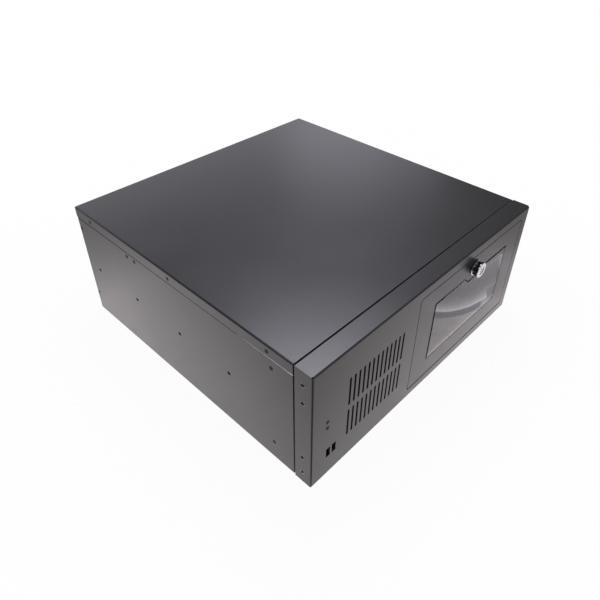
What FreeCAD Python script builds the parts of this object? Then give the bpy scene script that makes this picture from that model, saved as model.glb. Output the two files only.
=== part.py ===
"""Rackmount industrial computer: a four-unit sheet-steel case with a locking drop-down drive door.

Frame: +X to the right seen from the front, +Y to the rear, +Z up. The origin is the middle of
the underside. Lengths are in millimetres.
"""
import FreeCAD, Part
import os
import re
import Sketcher
from FreeCAD import Rotation, Vector

DIMENSIONS = {
    # Case, bent from one gauge of sheet
    "width": 430,
    "height": 176,
    "depth": 437,
    "sheet": 1.2,
    "play": 0.2,
    "bend": 2,
    "seam": 2.1,
    "lid_seam": 0.8,
    "hole_ease": 0.5,
    "relief_radius": 1.2,
    "relief_inset": 0.7,
    "wall_inset": 2,
    "return_lip": 9,
    "lid_flange": 15,
    # Front bezel and its vents
    "bezel_depth": 24,
    "vent_x": -111.4,
    "vent_z": 86,
    "vent_slot": 3.2,
    "vent_pitch": 7.66,
    "vent_count": 13,
    "vent_row": 42,
    "vent_row_pitch": 50,
    # Lamps and sockets in the bezel
    "lamp_x": -191,
    "lamp_z": 86.8,
    "lamp_pitch": 9.3,
    "lamp_radius": 1.5,
    "lamp_length": 6,
    "lamp_proud": 0.5,
    "usb_x": -184,
    "usb_z": 38.9,
    "usb_pitch": 9.4,
    "usb_width": 5.7,
    "usb_height": 13.6,
    "usb_length": 14,
    "usb_wall": 0.4,
    "usb_tongue": 1.8,
    "usb_tongue_height": 11,
    "usb_tongue_length": 9,
    "usb_base": 3,
    "usb_margin": 0.35,
    "usb_board_width": 26,
    "usb_board_height": 36,
    "spacer_radius": 2.6,
    "spacer_pitch": 26,
    # Holes in the side walls for rack ears and slide rails
    "ear_y": 13.4,
    "ear_z": 86.4,
    "ear_pitch": 26,
    "ear_pair_pitch": 113.6,
    "ear_hole": 2.2,
    "ear_window": 7,
    "rail_y": 128.9,
    "rail_z": 86,
    "rail_pitch": 92.8,
    "rail_count": 4,
    "rail_hole": 2.1,
    # Door, its window and hinge
    "door_x": 80.4,
    "door_width": 237,
    "door_base": 15.1,
    "door_height": 147.1,
    "door_depth": 10,
    "door_gap": 0.9,
    "door_sill_gap": 1.4,
    "door_edge": 0.5,
    "door_corner_high": 5,
    "door_corner_low": 2.5,
    "window_width": 169.4,
    "window_base": 44.2,
    "window_height": 92,
    "window_corner": 2.5,
    "window_overlap": 4,
    "window_gap": 1.8,
    "window_proud": 0.5,
    "window_thickness": 3,
    "dip_depth": 8.2,
    "dip_top": 38,
    "dip_bottom": 19,
    "hinge_inset": 3.5,
    "pin_radius": 1.5,
    "running_fit": 0.05,
    "lug_width": 4,
    "lug_gap": 0.4,
    "lug_depth": 8,
    "lug_below": 2.4,
    "lug_above": 9,
    # Cam lock at the top of the door
    "lock_z": 145.2,
    "lock_out": 10,
    "lock_head": 10.4,
    "lock_neck": 9,
    "lock_collar": 2.6,
    "lock_rim": 1.4,
    "lock_barrel": 7.9,
    "lock_barrel_length": 12,
    "plug_radius": 5.6,
    "plug_recess": 0.6,
    "tail_radius": 3.5,
    "key_width": 1.6,
    "key_height": 7,
    "key_depth": 6,
    "nut_rim": 3.1,
    "nut_thickness": 3,
    "cam_gap": 0.4,
    "cam_thickness": 2,
    "cam_reach": 25,
    "cam_width": 12,
    "cam_corner": 3,
    "cam_screw_radius": 4.5,
    "cam_screw_length": 3,
    "strike_width": 28,
    "strike_gap": 0.7,
    "strike_height": 8,
    # Inner front frame with fan, filter, drives and switches
    "frame_gap": 1.5,
    "frame_flange": 40,
    "fan_size": 120,
    "fan_depth": 25,
    "fan_duct": 57.5,
    "fan_hub": 20,
    "fan_corner": 4,
    "small_fan_size": 80,
    "small_fan_duct": 38,
    "small_fan_hub": 15,
    "fan_arm": 4,
    "fan_base": 3,
    "fan_shaft": 1.5,
    "fan_blade": 1.4,
    "fan_blade_count": 7,
    "blade_root_sweep": 0.9,
    "blade_tip_sweep": 1.2,
    "blade_tip_rise": 0.77,
    "fan_tip_gap": 1.2,
    "fan_hub_gap": 0.8,
    "fan_hub_inset": 1.6,
    "filter_width": 106,
    "filter_height": 102,
    "filter_rim": 3,
    "filter_depth": 9,
    "foam_depth": 6,
    "cage_wall": 1,
    "cage_length": 150,
    "cage_foot": 10,
    "cage_slot": 2.7,
    "cage_slot_start": 50,
    "cage_slot_length": 50,
    "bay_width": 147,
    "bay_height": 42.3,
    "bay_count": 3,
    "bay_base": 25,
    "bay_cover_front": 3,
    "bay_cover_proud": 3,
    "bay_cover_depth": 16,
    "bay_cover_wall": 2,
    "bay_cover_gap": 0.5,
    "bay_cover_grip": 1.2,
    "bay_cover_grip_width": 26,
    "bay_cover_grip_height": 10,
    "bay_cover_grip_corner": 3,
    "drive_width": 69.9,
    "drive_length": 100,
    "drive_height": 7,
    "switch_x": -17,
    "power_z": 118,
    "reset_z": 88,
    "power_radius": 6,
    "reset_radius": 3.5,
    "switch_wall": 2,
    "switch_collar": 1.6,
    "switch_collar_length": 2,
    "switch_body_length": 18,
    "button_proud": 3,
    "button_travel": 2,
    "button_stem": 10,
    "button_edge": 0.6,
    # Board, processor and cards
    "board_x": -52,
    "board_width": 305,
    "board_depth": 244,
    "board_thickness": 1.6,
    "board_gap": 2,
    "standoff_height": 8,
    "standoff_radius": 3,
    "standoff_inset": 10,
    "cpu_x": 30,
    "cpu_setback": 92.4,
    "cpu_size": 42,
    "cpu_height": 6,
    "sink_size": 88,
    "sink_base": 6,
    "sink_fin": 1.2,
    "sink_fin_count": 13,
    "sink_height": 60,
    "memory_x": 88,
    "memory_setback": 114.4,
    "memory_length": 133,
    "memory_height": 31,
    "memory_pitch": 10,
    "memory_count": 2,
    "memory_thickness": 3.4,
    "memory_socket": 6,
    "memory_socket_height": 8,
    "slot_first_x": -76,
    "slot_pitch": 20.32,
    "slot_count": 7,
    "slot_socket_width": 7.5,
    "slot_socket_length": 90,
    "slot_socket_height": 11,
    "slot_socket_setback": 45,
    # Hold-down bar across the cards
    "bar_width": 30,
    "bar_height": 12,
    "bar_tab": 27,
    "bar_setback": 128,
    # Rear panel and what shows there
    "rear_flange": 10,
    "io_x": 17,
    "io_base": 7,
    "io_width": 158.7,
    "io_height": 44.4,
    "io_lip": 3,
    "io_shield": 1,
    "slot_width": 14,
    "slot_base": 14,
    "slot_height": 104,
    "slot_cover": 1,
    "slot_cover_width": 18.4,
    "slot_ledge": 12,
    "slot_end": 3,
    "slot_tab": 11,
    "grille_x": 17,
    "grille_pair_pitch": 84,
    "grille_z": 112,
    "grille_slot": 4,
    "grille_pitch": 8,
    "grille_count": 9,
    "grille_height": 66,
    "port_first_x": -62,
    "port_second_x": -40,
    "port_third_x": -14,
    "port_fourth_x": 16,
    "port_foot": 0.6,
    "port_depth": 14,
    "port_proud": 1.2,
    "port_wall": 0.8,
    "port_recess": 9,
    "port_tongue": 1.8,
    "bus_width": 12.6,
    "bus_height": 5.4,
    "net_width": 12,
    "net_height": 9.4,
    "video_width": 16,
    "video_height": 5,
    # Power supply, standing on edge
    "psu_x": 156,
    "psu_width": 86,
    "psu_height": 150,
    "psu_depth": 140,
    "psu_plate": 1,
    "psu_window_margin": 6,
    "psu_fan_drop": 45.2,
    "inlet_x": 14,
    "inlet_z": 36,
    "inlet_width": 27.6,
    "inlet_height": 23,
    "inlet_depth": 18,
    "inlet_flange": 1.6,
    "inlet_flange_rim": 3,
    "inlet_wall": 2,
    "inlet_recess": 15.6,
    "inlet_corner": 5.7,
    "inlet_pin_width": 2,
    "inlet_pin_height": 4,
    "inlet_pin_length": 10,
    "inlet_pin_pitch": 14,
    "inlet_pin_rise": 4,
    "rocker_x": -20,
    "rocker_width": 13,
    "rocker_height": 19,
    "rocker_depth": 9,
    "rocker_pivot": 1,
    "rocker_back": 2,
    "rocker_root": 4.7,
    "rocker_gap": 1.3,
    "rocker_out": 2.4,
    "rocker_dip": 1.2,
    "rocker_wall": 1,
    "rocker_rim": 1.5,
    "rocker_tilt": 8,
}

PLACES = {
    "front": "-depth / 2",
    "rear": "depth / 2",
    "side": "width / 2",
    "wall_out": "side - sheet - play",
    "wall_in": "wall_out - sheet",
    "bezel_in": "front + sheet",
    "bezel_end": "front + bezel_depth",
    "case_start": "bezel_end + seam",
    "case_end": "rear - sheet - play",
    "rear_in": "case_end - sheet",
    "frame_front": "bezel_end + frame_gap",
    "frame_back": "frame_front + sheet",
    "inner_side": "wall_in - play",
    "inner_low": "bend + play",
    "lid_under": "height - sheet",
    "wall_top": "lid_under - play",
    "ledge": "height - lid_flange - lid_seam",
    "inner_top": "wall_top - sheet - play",
    "door_left": "door_x - door_width / 2",
    "door_right": "door_x + door_width / 2",
    "door_top": "door_base + door_height",
    "window_left": "door_x - window_width / 2",
    "window_right": "door_x + window_width / 2",
    "window_top": "window_base + window_height",
    "hinge_y": "front + hinge_inset",
    "hinge_z": "door_base + hinge_inset",
    "nut_radius": "lock_barrel + nut_rim",
    "cam_front": "lock_barrel_length + cam_gap",
    "cam_back": "cam_front + cam_thickness",
    "bay_left": "door_x - bay_width / 2",
    "bay_right": "door_x + bay_width / 2",
    "bay_top": "bay_base + bay_count * bay_height",
    "cage_left": "bay_left - cage_wall",
    "cage_right": "bay_right + cage_wall",
    "board_back": "rear_in - board_gap",
    "board_front": "board_back - board_depth",
    "board_low": "sheet + standoff_height",
    "board_top": "board_low + board_thickness",
    "sink_low": "board_top + cpu_height",
    "cpu_back": "board_back - cpu_setback",
    "bar_top": "inner_top - play",
    "bar_y": "rear - bar_setback",
    "psu_left": "psu_x - psu_width / 2",
    "psu_right": "psu_x + psu_width / 2",
    "psu_top": "sheet + psu_height",
    "psu_back": "rear_in - psu_plate",
    "psu_fan_z": "psu_top - psu_fan_drop",
    "psu_front": "rear_in - psu_depth",
    "usb_front": "bezel_in + play",
    "usb_back": "usb_front + usb_length",
    "usb_board_back": "usb_back + board_thickness",
    "power_body": "power_radius + switch_wall",
    "reset_body": "reset_radius + switch_wall",
    "slot_top": "slot_base + slot_height",
    "ledge_top": "slot_top + sheet + play",
    "rocker_middle": "psu_x + rocker_x",
    "blade_zone": "fan_depth - fan_base - fan_hub_gap - fan_hub_inset",
    "blade_rise": "blade_zone / 2 - fan_hub_gap",
    "grille_reach": "(grille_height - grille_slot) / 2",
    "through": "3 * sheet",
    "across": "2 * width",
}

FRONT_VIEW = "XZ_Plane"
SIDE_VIEW = "YZ_Plane"
TOP_VIEW = "XY_Plane"
WORD = re.compile(r"[a-z_]+")
NEAR = 0.01

doc = FreeCAD.newDocument("rackmount_computer")
sheet = doc.addObject("Spreadsheet::Sheet", "dims")
for line, (alias, size) in enumerate(DIMENSIONS.items(), start=1):
    sheet.set(f"A{line}", alias)
    sheet.set(f"B{line}", str(size))
    sheet.setAlias(f"B{line}", alias)
doc.recompute()
SUB_PARTS = []


# Expressions and measures

def expand(text):
    """Write an expression of plain names as one on the spreadsheet's cells."""
    def swap(match):
        word = match.group()
        if word in PLACES:
            return f"({expand(PLACES[word])})"
        return f"dims.{word}" if word in DIMENSIONS else word
    return WORD.sub(swap, text)


def bind(thing, setting, text):
    thing.setExpression(setting, expand(text))


def measure(text):
    return float(sheet.evalExpression(expand(text)))


def near(first, second):
    return abs(first - second) < NEAR


def keep(thing, label):
    """Count a finished object as a sub-part of its own name."""
    thing.Label = label
    SUB_PARTS.append(thing)
    return thing


def put(thing, place):
    for axis, text in zip("xyz", place):
        bind(thing, f"Placement.Base.{axis}", text)


# Sketch outlines

def pin_point(sketch, curve, point, x, y):
    for kind, text, axis in (("DistanceX", x, -2), ("DistanceY", y, -1)):
        if text == "0":
            sketch.addConstraint(Sketcher.Constraint("PointOnObject", curve, point, axis))
            continue
        rule = Sketcher.Constraint(kind, -1, 1, curve, point, measure(text))
        index = sketch.addConstraint(rule)
        bind(sketch, f"Constraints[{index}]", text)


def set_radius(sketch, curve, radius):
    index = sketch.addConstraint(Sketcher.Constraint("Radius", curve, measure(radius)))
    bind(sketch, f"Constraints[{index}]", radius)


def outline(sketch, corners):
    """A closed outline of straight lines."""
    spots = [Vector(measure(x), measure(y), 0) for x, y in corners]
    first = sketch.GeometryCount
    total = len(spots)
    for step in range(total):
        sketch.addGeometry(Part.LineSegment(spots[step], spots[(step + 1) % total]), False)
    for step in range(total):
        after = first + (step + 1) % total
        sketch.addConstraint(Sketcher.Constraint("Coincident", first + step, 2, after, 1))
    for step, (x, y) in enumerate(corners):
        pin_point(sketch, first + step, 1, x, y)


def oblong(sketch, left, low, right, high):
    outline(sketch, [(left, low), (right, low), (right, high), (left, high)])


def circle(sketch, x, y, radius):
    middle = Vector(measure(x), measure(y), 0)
    ring = Part.Circle(middle, Vector(0, 0, 1), measure(radius))
    curve = sketch.addGeometry(ring, False)
    pin_point(sketch, curve, 3, x, y)
    set_radius(sketch, curve, radius)


def cut_oblong(sketch, left, low, right, high, cut):
    """An oblong with its corners cut off."""
    outline(sketch, [
        (f"{left} + {cut}", low), (f"{right} - {cut}", low), (right, f"{low} + {cut}"),
        (right, f"{high} - {cut}"), (f"{right} - {cut}", high), (f"{left} + {cut}", high),
        (left, f"{high} - {cut}"), (left, f"{low} + {cut}"),
    ])


def upright_slot(sketch, x, low, high, half):
    """A slot of half that width to each side, its ends drawn in with cut corners."""
    cut_oblong(sketch, f"{x} - {half}", low, f"{x} + {half}", high, f"{half} / 2")


def rounded(sketch, left, low, right, high, low_radius, high_radius):
    """An oblong with round corners, its lower and upper corners with their own radius."""
    x0, y0, x1, y1 = (measure(text) for text in (left, low, right, high))
    a, b = measure(low_radius), measure(high_radius)
    quarter = FreeCAD.Units.Quantity("90 deg").getValueAs("rad").Value
    corners = [
        (x1 - a, y0 + a, a, 3),
        (x1 - b, y1 - b, b, 0),
        (x0 + b, y1 - b, b, 1),
        (x0 + a, y0 + a, a, 2),
    ]
    runs = [
        (Vector(x0 + a, y0, 0), Vector(x1 - a, y0, 0)),
        (Vector(x1, y0 + a, 0), Vector(x1, y1 - b, 0)),
        (Vector(x1 - b, y1, 0), Vector(x0 + b, y1, 0)),
        (Vector(x0, y1 - b, 0), Vector(x0, y0 + a, 0)),
    ]
    first = sketch.GeometryCount
    for (start, end), (x, y, r, turn) in zip(runs, corners):
        sketch.addGeometry(Part.LineSegment(start, end), False)
        ring = Part.Circle(Vector(x, y, 0), Vector(0, 0, 1), r)
        sketch.addGeometry(Part.ArcOfCircle(ring, turn * quarter, (turn + 1) * quarter), False)
    total = len(runs) + len(corners)
    for step in range(total):
        after = first + (step + 1) % total
        sketch.addConstraint(Sketcher.Constraint("Tangent", first + step, 2, after, 1))
    for step, way in ((0, "Horizontal"), (2, "Vertical"), (4, "Horizontal"), (6, "Vertical")):
        sketch.addConstraint(Sketcher.Constraint(way, first + step))
    for step, kind, text in ((0, "DistanceY", low), (2, "DistanceX", right),
                             (4, "DistanceY", high), (6, "DistanceX", left)):
        rule = Sketcher.Constraint(kind, -1, 1, first + step, 1, measure(text))
        index = sketch.addConstraint(rule)
        bind(sketch, f"Constraints[{index}]", text)
    for step, text in ((1, low_radius), (3, high_radius), (5, high_radius), (7, low_radius)):
        set_radius(sketch, first + step, text)


class Piece:
    """One sub-part built up from sketches on its own origin planes."""

    def __init__(self, label, place=None):
        self.body = keep(doc.addObject("PartDesign::Body", label), label)
        if place:
            put(self.body, place)

    def sketch(self, view, offset="0"):
        drawn = self.body.newObject("Sketcher::SketchObject", "outline")
        planes = self.body.Origin.OriginFeatures
        drawn.AttachmentSupport = [(next(p for p in planes if p.Role == view), "")]
        drawn.MapMode = "FlatFace"
        sign = "-" if view == FRONT_VIEW else ""
        bind(drawn, "AttachmentOffset.Base.z", f"{sign}({offset})")
        return drawn

    def feature(self, kind, drawn, length, reverse):
        made = self.body.newObject(f"PartDesign::{kind}", kind.lower())
        made.Profile = drawn
        bind(made, "Length", length)
        made.Reversed = reverse
        return made

    def pad(self, drawn, length, back=False):
        """Add material along the axis that the view looks along, or back against it."""
        plane = drawn.AttachmentSupport[0][0].Role
        return self.feature("Pad", drawn, length, back != (plane == FRONT_VIEW))

    def pocket(self, drawn, length, back=False):
        """Cut along the axis that the view looks along, or back against it."""
        plane = drawn.AttachmentSupport[0][0].Role
        return self.feature("Pocket", drawn, length, back == (plane == FRONT_VIEW))

    def turn(self, drawn, axis):
        made = self.body.newObject("PartDesign::Revolution", "revolution")
        made.Profile = drawn
        made.ReferenceAxis = (drawn, [axis])
        return made

    def edges(self, wanted):
        """The latest feature and the names of its edges for which wanted(middle, run) is true."""
        doc.recompute()
        base = self.body.Tip
        names = []
        for number, edge in enumerate(base.Shape.Edges, start=1):
            ends = [vertex.Point for vertex in edge.Vertexes]
            run = ends[-1] - ends[0]
            if wanted(edge.CenterOfMass, run):
                names.append(f"Edge{number}")
        return base, names

    def fillet(self, radius, wanted):
        chosen = self.edges(wanted)
        made = self.body.newObject("PartDesign::Fillet", "fillet")
        made.Base = chosen
        bind(made, "Radius", radius)

    def chamfer(self, size, wanted):
        chosen = self.edges(wanted)
        made = self.body.newObject("PartDesign::Chamfer", "chamfer")
        made.Base = chosen
        bind(made, "Size", size)

    def row(self, features, drawn, axis, span, count):
        made = self.body.newObject("PartDesign::LinearPattern", "row")
        made.Originals = features
        made.Direction = (drawn, [axis])
        bind(made, "Length", span)
        bind(made, "Occurrences", count)
        self.body.Tip = made
        return made

    def ring(self, features, drawn, count):
        made = self.body.newObject("PartDesign::PolarPattern", "ring")
        made.Originals = features
        made.Axis = (drawn, ["N_Axis"])
        made.Angle = 360
        bind(made, "Occurrences", count)
        self.body.Tip = made
        return made


# Plain blocks, rods and their booleans

def block(low, high):
    """A box between two corners."""
    made = doc.addObject("Part::Box", "block")
    for side, start, end in zip(("Length", "Width", "Height"), low, high):
        bind(made, side, f"({end}) - ({start})")
    put(made, low)
    return made


ROD_TURNS = {
    "x": Rotation(Vector(0, 1, 0), 90),
    "y": Rotation(Vector(1, 0, 0), -90),
    "z": Rotation(),
}


def rod(axis, start, radius, length):
    made = doc.addObject("Part::Cylinder", "rod")
    made.Placement.Rotation = ROD_TURNS[axis]
    bind(made, "Radius", radius)
    bind(made, "Height", length)
    put(made, start)
    return made


def hexagon_post(axis, start, radius, length):
    made = doc.addObject("Part::Prism", "post")
    made.Polygon = 6
    made.Placement.Rotation = ROD_TURNS[axis]
    bind(made, "Circumradius", radius)
    bind(made, "Height", length)
    put(made, start)
    return made


def join(shapes):
    made = doc.addObject("Part::MultiFuse", "joined")
    made.Shapes = shapes
    return made


def carve(base, tools):
    made = doc.addObject("Part::Cut", "carved")
    made.Base = base
    made.Tool = join(tools) if len(tools) > 1 else tools[0]
    return made


def group(shapes, label):
    made = doc.addObject("Part::Compound", "group")
    made.Links = shapes
    return keep(made, label)


def along_y(run):
    return abs(run.x) < NEAR and abs(run.z) < NEAR and abs(run.y) > NEAR


def side_holes(piece, radius, spots):
    """Round holes right through both side walls, at places from the front and above the floor."""
    drawn = piece.sketch(SIDE_VIEW, "-width")
    for y, z in spots:
        circle(drawn, y, z, radius)
    piece.pocket(drawn, "across")


EAR_SPOTS = [
    ("front + ear_y", f"ear_z {outer} ear_pair_pitch / 2 {inner} ear_pitch / 2")
    for outer in "+-" for inner in "+-"
]
RAIL_SPOTS = [
    (f"front + rail_y + {step} * rail_pitch", "rail_z")
    for step in range(DIMENSIONS["rail_count"])
]


# Outer shell

def make_base_pan():
    pan = Piece("base_pan")
    section = pan.sketch(FRONT_VIEW, "front + wall_inset")
    half = [
        ("wall_in", "sheet"),
        ("wall_in", "wall_top - sheet"),
        ("wall_out - return_lip", "wall_top - sheet"),
        ("wall_out - return_lip", "wall_top"),
        ("wall_out", "wall_top"),
        ("wall_out", "0"),
    ]
    outline(section, half + [(f"-({x})", z) for x, z in reversed(half)])
    pan.pad(section, "case_end - front - wall_inset")
    sill = pan.sketch(SIDE_VIEW, "-side")
    oblong(sill, "front", "-sheet", "case_start", "inner_low")
    pan.pocket(sill, "width")
    lip = pan.sketch(FRONT_VIEW, "front")
    oblong(lip, "-side", "inner_top", "side", "height")
    pan.pocket(lip, "bezel_depth + seam")
    plates = pan.sketch(FRONT_VIEW, "case_start")
    oblong(plates, "wall_in", "0", "side", "ledge")
    oblong(plates, "-side", "0", "-wall_in", "ledge")
    pan.pad(plates, "case_end - case_start")
    side_holes(pan, "rail_hole", RAIL_SPOTS)
    out = measure("side")
    pan.chamfer("hole_ease", lambda p, run: near(abs(p.x), out) and near(run.Length, 0))
    windows = pan.sketch(SIDE_VIEW, "-width")
    for y, z in EAR_SPOTS:
        reach = "ear_window / 2"
        oblong(windows, f"{y} - {reach}", f"{z} - {reach}", f"{y} + {reach}", f"{z} + {reach}")
    pan.pocket(windows, "across")
    pan.fillet("bend", lambda p, run: along_y(run) and near(abs(p.x), out) and near(p.z, 0))
    inner, floor = measure("wall_in"), measure("sheet")
    pan.fillet("bend - sheet", lambda p, run: (
        along_y(run) and near(abs(p.x), inner) and near(p.z, floor)))


def make_top_cover():
    lid = Piece("top_cover")
    section = lid.sketch(FRONT_VIEW, "case_start")
    half = [
        ("side - sheet", "lid_under"),
        ("side - sheet", "height - lid_flange"),
        ("side", "height - lid_flange"),
        ("side", "height"),
    ]
    outline(section, half + [(f"-({x})", z) for x, z in reversed(half)])
    lid.pad(section, "rear - case_start")
    tail = lid.sketch(FRONT_VIEW, "rear - sheet")
    oblong(tail, "-(side - bend)", "height - lid_flange", "side - bend", "lid_under")
    lid.pad(tail, "sheet")
    out, top = measure("side"), measure("height")
    lid.fillet("bend", lambda p, run: (
        along_y(run) and near(abs(p.x), out) and near(p.z, top)))


def make_front_bezel():
    bezel = Piece("front_bezel")
    face = bezel.sketch(FRONT_VIEW, "front")
    oblong(face, "-side", "0", "side", "height")
    bezel.pad(face, "bezel_depth")
    plane = measure("front")
    bezel.fillet("bend", lambda p, run: near(p.y, plane))
    hollow = bezel.sketch(FRONT_VIEW, "bezel_in")
    oblong(hollow, "-(side - sheet)", "sheet", "side - sheet", "lid_under")
    bezel.pocket(hollow, "bezel_depth")
    door = bezel.sketch(FRONT_VIEW, "front - sheet")
    rounded(door, "door_left - door_gap", "door_base - door_sill_gap", "door_right + door_gap",
            "door_top + door_gap", "door_corner_low + door_gap", "door_corner_high + door_gap")
    bezel.pocket(door, "through")
    vents = bezel.sketch(FRONT_VIEW, "front - sheet")
    first = "vent_x - (vent_count - 1) / 2 * vent_pitch"
    for sign in "+-":
        middle = f"vent_z {sign} vent_row_pitch / 2"
        upright_slot(vents, first, f"{middle} - vent_row / 2", f"{middle} + vent_row / 2",
                     "vent_slot / 2")
    slots = bezel.pocket(vents, "through")
    bezel.row([slots], vents, "H_Axis", "(vent_count - 1) * vent_pitch", "vent_count")
    lamps = bezel.sketch(FRONT_VIEW, "front - sheet")
    for sign in "+-":
        circle(lamps, "lamp_x", f"lamp_z {sign} lamp_pitch / 2", "lamp_radius + play / 2")
    bezel.pocket(lamps, "through")
    sockets = bezel.sketch(FRONT_VIEW, "front - sheet")
    for sign in "+-":
        middle = f"usb_x {sign} usb_pitch / 2"
        oblong(sockets, f"{middle} - usb_width / 2 - usb_margin", "usb_z - usb_height / 2 - usb_margin",
               f"{middle} + usb_width / 2 + usb_margin", "usb_z + usb_height / 2 + usb_margin")
    bezel.pocket(sockets, "through")
    reliefs = bezel.sketch(FRONT_VIEW, "front - sheet")
    for x in ("side - relief_inset", "relief_inset - side"):
        circle(reliefs, x, "height - relief_inset", "relief_radius")
    bezel.pocket(reliefs, "sheet + bend")
    side_holes(bezel, "ear_hole", EAR_SPOTS)
    out = measure("side")
    bezel.chamfer("hole_ease", lambda p, run: near(abs(p.x), out) and near(run.Length, 0))


def make_rear_panel():
    panel = Piece("rear_panel")
    section = panel.sketch(TOP_VIEW, "inner_low")
    half = [
        ("inner_side - sheet", "rear_in"),
        ("inner_side - sheet", "rear_in - rear_flange"),
        ("inner_side", "rear_in - rear_flange"),
        ("inner_side", "case_end"),
    ]
    outline(section, half + [(f"-({x})", y) for x, y in reversed(half)])
    panel.pad(section, "inner_top - inner_low")
    last = "slot_first_x - (slot_count - 1) * slot_pitch"
    ends = (f"{last} - slot_cover_width / 2 - play", "slot_first_x + slot_cover_width / 2 + play")
    ledge = panel.sketch(TOP_VIEW, "slot_top + play")
    back, front = "rear_in - slot_cover - play", "rear_in - slot_ledge"
    outline(ledge, [
        (f"{ends[0]} - slot_end", front), (f"{ends[1]} + slot_end", front),
        (f"{ends[1]} + slot_end", "rear_in"), (ends[1], "rear_in"), (ends[1], back),
        (ends[0], back), (ends[0], "rear_in"), (f"{ends[0]} - slot_end", "rear_in"),
    ])
    panel.pad(ledge, "sheet")
    openings = panel.sketch(FRONT_VIEW, "rear_in - sheet / 2")
    oblong(openings, "io_x - io_width / 2", "io_base", "io_x + io_width / 2", "io_base + io_height")
    margin = "psu_window_margin"
    rounded(openings, f"psu_left + {margin}", f"sheet + {margin}", f"psu_right - {margin}",
            f"psu_top - {margin}", "bend", "bend")
    panel.pocket(openings, "2 * sheet")
    slot = panel.sketch(FRONT_VIEW, "rear_in - sheet / 2")
    oblong(slot, f"{last} - slot_width / 2", "slot_base", f"{last} + slot_width / 2", "slot_top")
    cut = panel.pocket(slot, "2 * sheet")
    panel.row([cut], slot, "H_Axis", "(slot_count - 1) * slot_pitch", "slot_count")
    for sign in "+-":
        vents = panel.sketch(FRONT_VIEW, "rear_in - sheet / 2")
        first = f"grille_x {sign} grille_pair_pitch / 2 - (grille_count - 1) / 2 * grille_pitch"
        upright_slot(vents, first, "grille_z - grille_reach", "grille_z + grille_reach",
                     "grille_slot / 2")
        cut = panel.pocket(vents, "2 * sheet")
        panel.row([cut], vents, "H_Axis", "(grille_count - 1) * grille_pitch", "grille_count")


# Door, window, hinge and lock

def make_door_panel():
    door = Piece("door_panel")
    face = door.sketch(FRONT_VIEW, "front")
    rounded(face, "door_left", "door_base", "door_right", "door_top",
            "door_corner_low", "door_corner_high")
    door.pad(face, "door_depth")
    plane = measure("front")
    door.chamfer("door_edge", lambda p, run: near(p.y, plane))
    hollow = door.sketch(FRONT_VIEW, "bezel_in")
    rounded(hollow, "door_left + sheet", "door_base + sheet", "door_right - sheet",
            "door_top - sheet", "door_corner_low - sheet", "door_corner_high - sheet")
    door.pocket(hollow, "door_depth")
    opening = door.sketch(FRONT_VIEW, "front - sheet")
    outline(opening, window_outline("0"))
    door.pocket(opening, "through")
    left, low = measure("window_left"), measure("window_base")
    right, high = measure("window_right"), measure("window_top")
    door.fillet("window_corner", lambda p, run: along_y(run) and (
        (near(p.x, left) or near(p.x, right)) and (near(p.z, low) or near(p.z, high))))
    holes = door.sketch(FRONT_VIEW, "front - sheet")
    circle(holes, "door_x", "lock_z", "lock_barrel + play / 2")
    door.pocket(holes, "through")
    pins = door.sketch(SIDE_VIEW, "-width")
    circle(pins, "hinge_y", "hinge_z", "pin_radius + running_fit")
    door.pocket(pins, "across")


def window_outline(grow):
    """The window's outline with the dip under the lock, larger all round by grow."""
    left, right = f"window_left - {grow}", f"window_right + {grow}"
    low, high = f"window_base - {grow}", f"window_top + {grow}"
    return [
        (left, low), (right, low), (right, high),
        ("door_x + dip_top / 2", high),
        ("door_x + dip_bottom / 2", f"{high} - dip_depth"),
        ("door_x - dip_bottom / 2", f"{high} - dip_depth"),
        ("door_x - dip_top / 2", high),
        (left, high),
    ]


def make_door_window():
    pane = Piece("door_window")
    face = pane.sketch(FRONT_VIEW, "bezel_in")
    outline(face, window_outline("window_overlap"))
    pane.pad(face, "window_thickness")
    step = pane.sketch(FRONT_VIEW, "front - window_proud")
    outline(step, window_outline("(-window_gap)"))
    pane.pad(step, "sheet + window_proud")


def make_hinge():
    pins, lugs = [], []
    reach = "door_gap + lug_gap + lug_width + sheet"
    for hand in (-1, 1):
        left = hand < 0
        start = f"door_left - ({reach}) + sheet" if left else "door_right - sheet"
        pins.append(rod("x", (start, "hinge_y", "hinge_z"), "pin_radius", reach))
        near_side = "door_left - door_gap - lug_gap" if left else "door_right + door_gap + lug_gap"
        low_x = f"{near_side} - lug_width" if left else near_side
        body = block((low_x, "bezel_in", "door_base - lug_below"),
                     (f"{low_x} + lug_width", "bezel_in + lug_depth", "door_base + lug_above"))
        bore = rod("x", (f"{low_x} - sheet", "hinge_y", "hinge_z"),
                   "pin_radius + running_fit", "lug_width + 2 * sheet")
        lugs.append(carve(body, [bore]))
    group(pins, "hinge_pins")
    group(lugs, "hinge_lugs")


LOCK_PLACE = ("door_x", "front", "lock_z")


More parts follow.
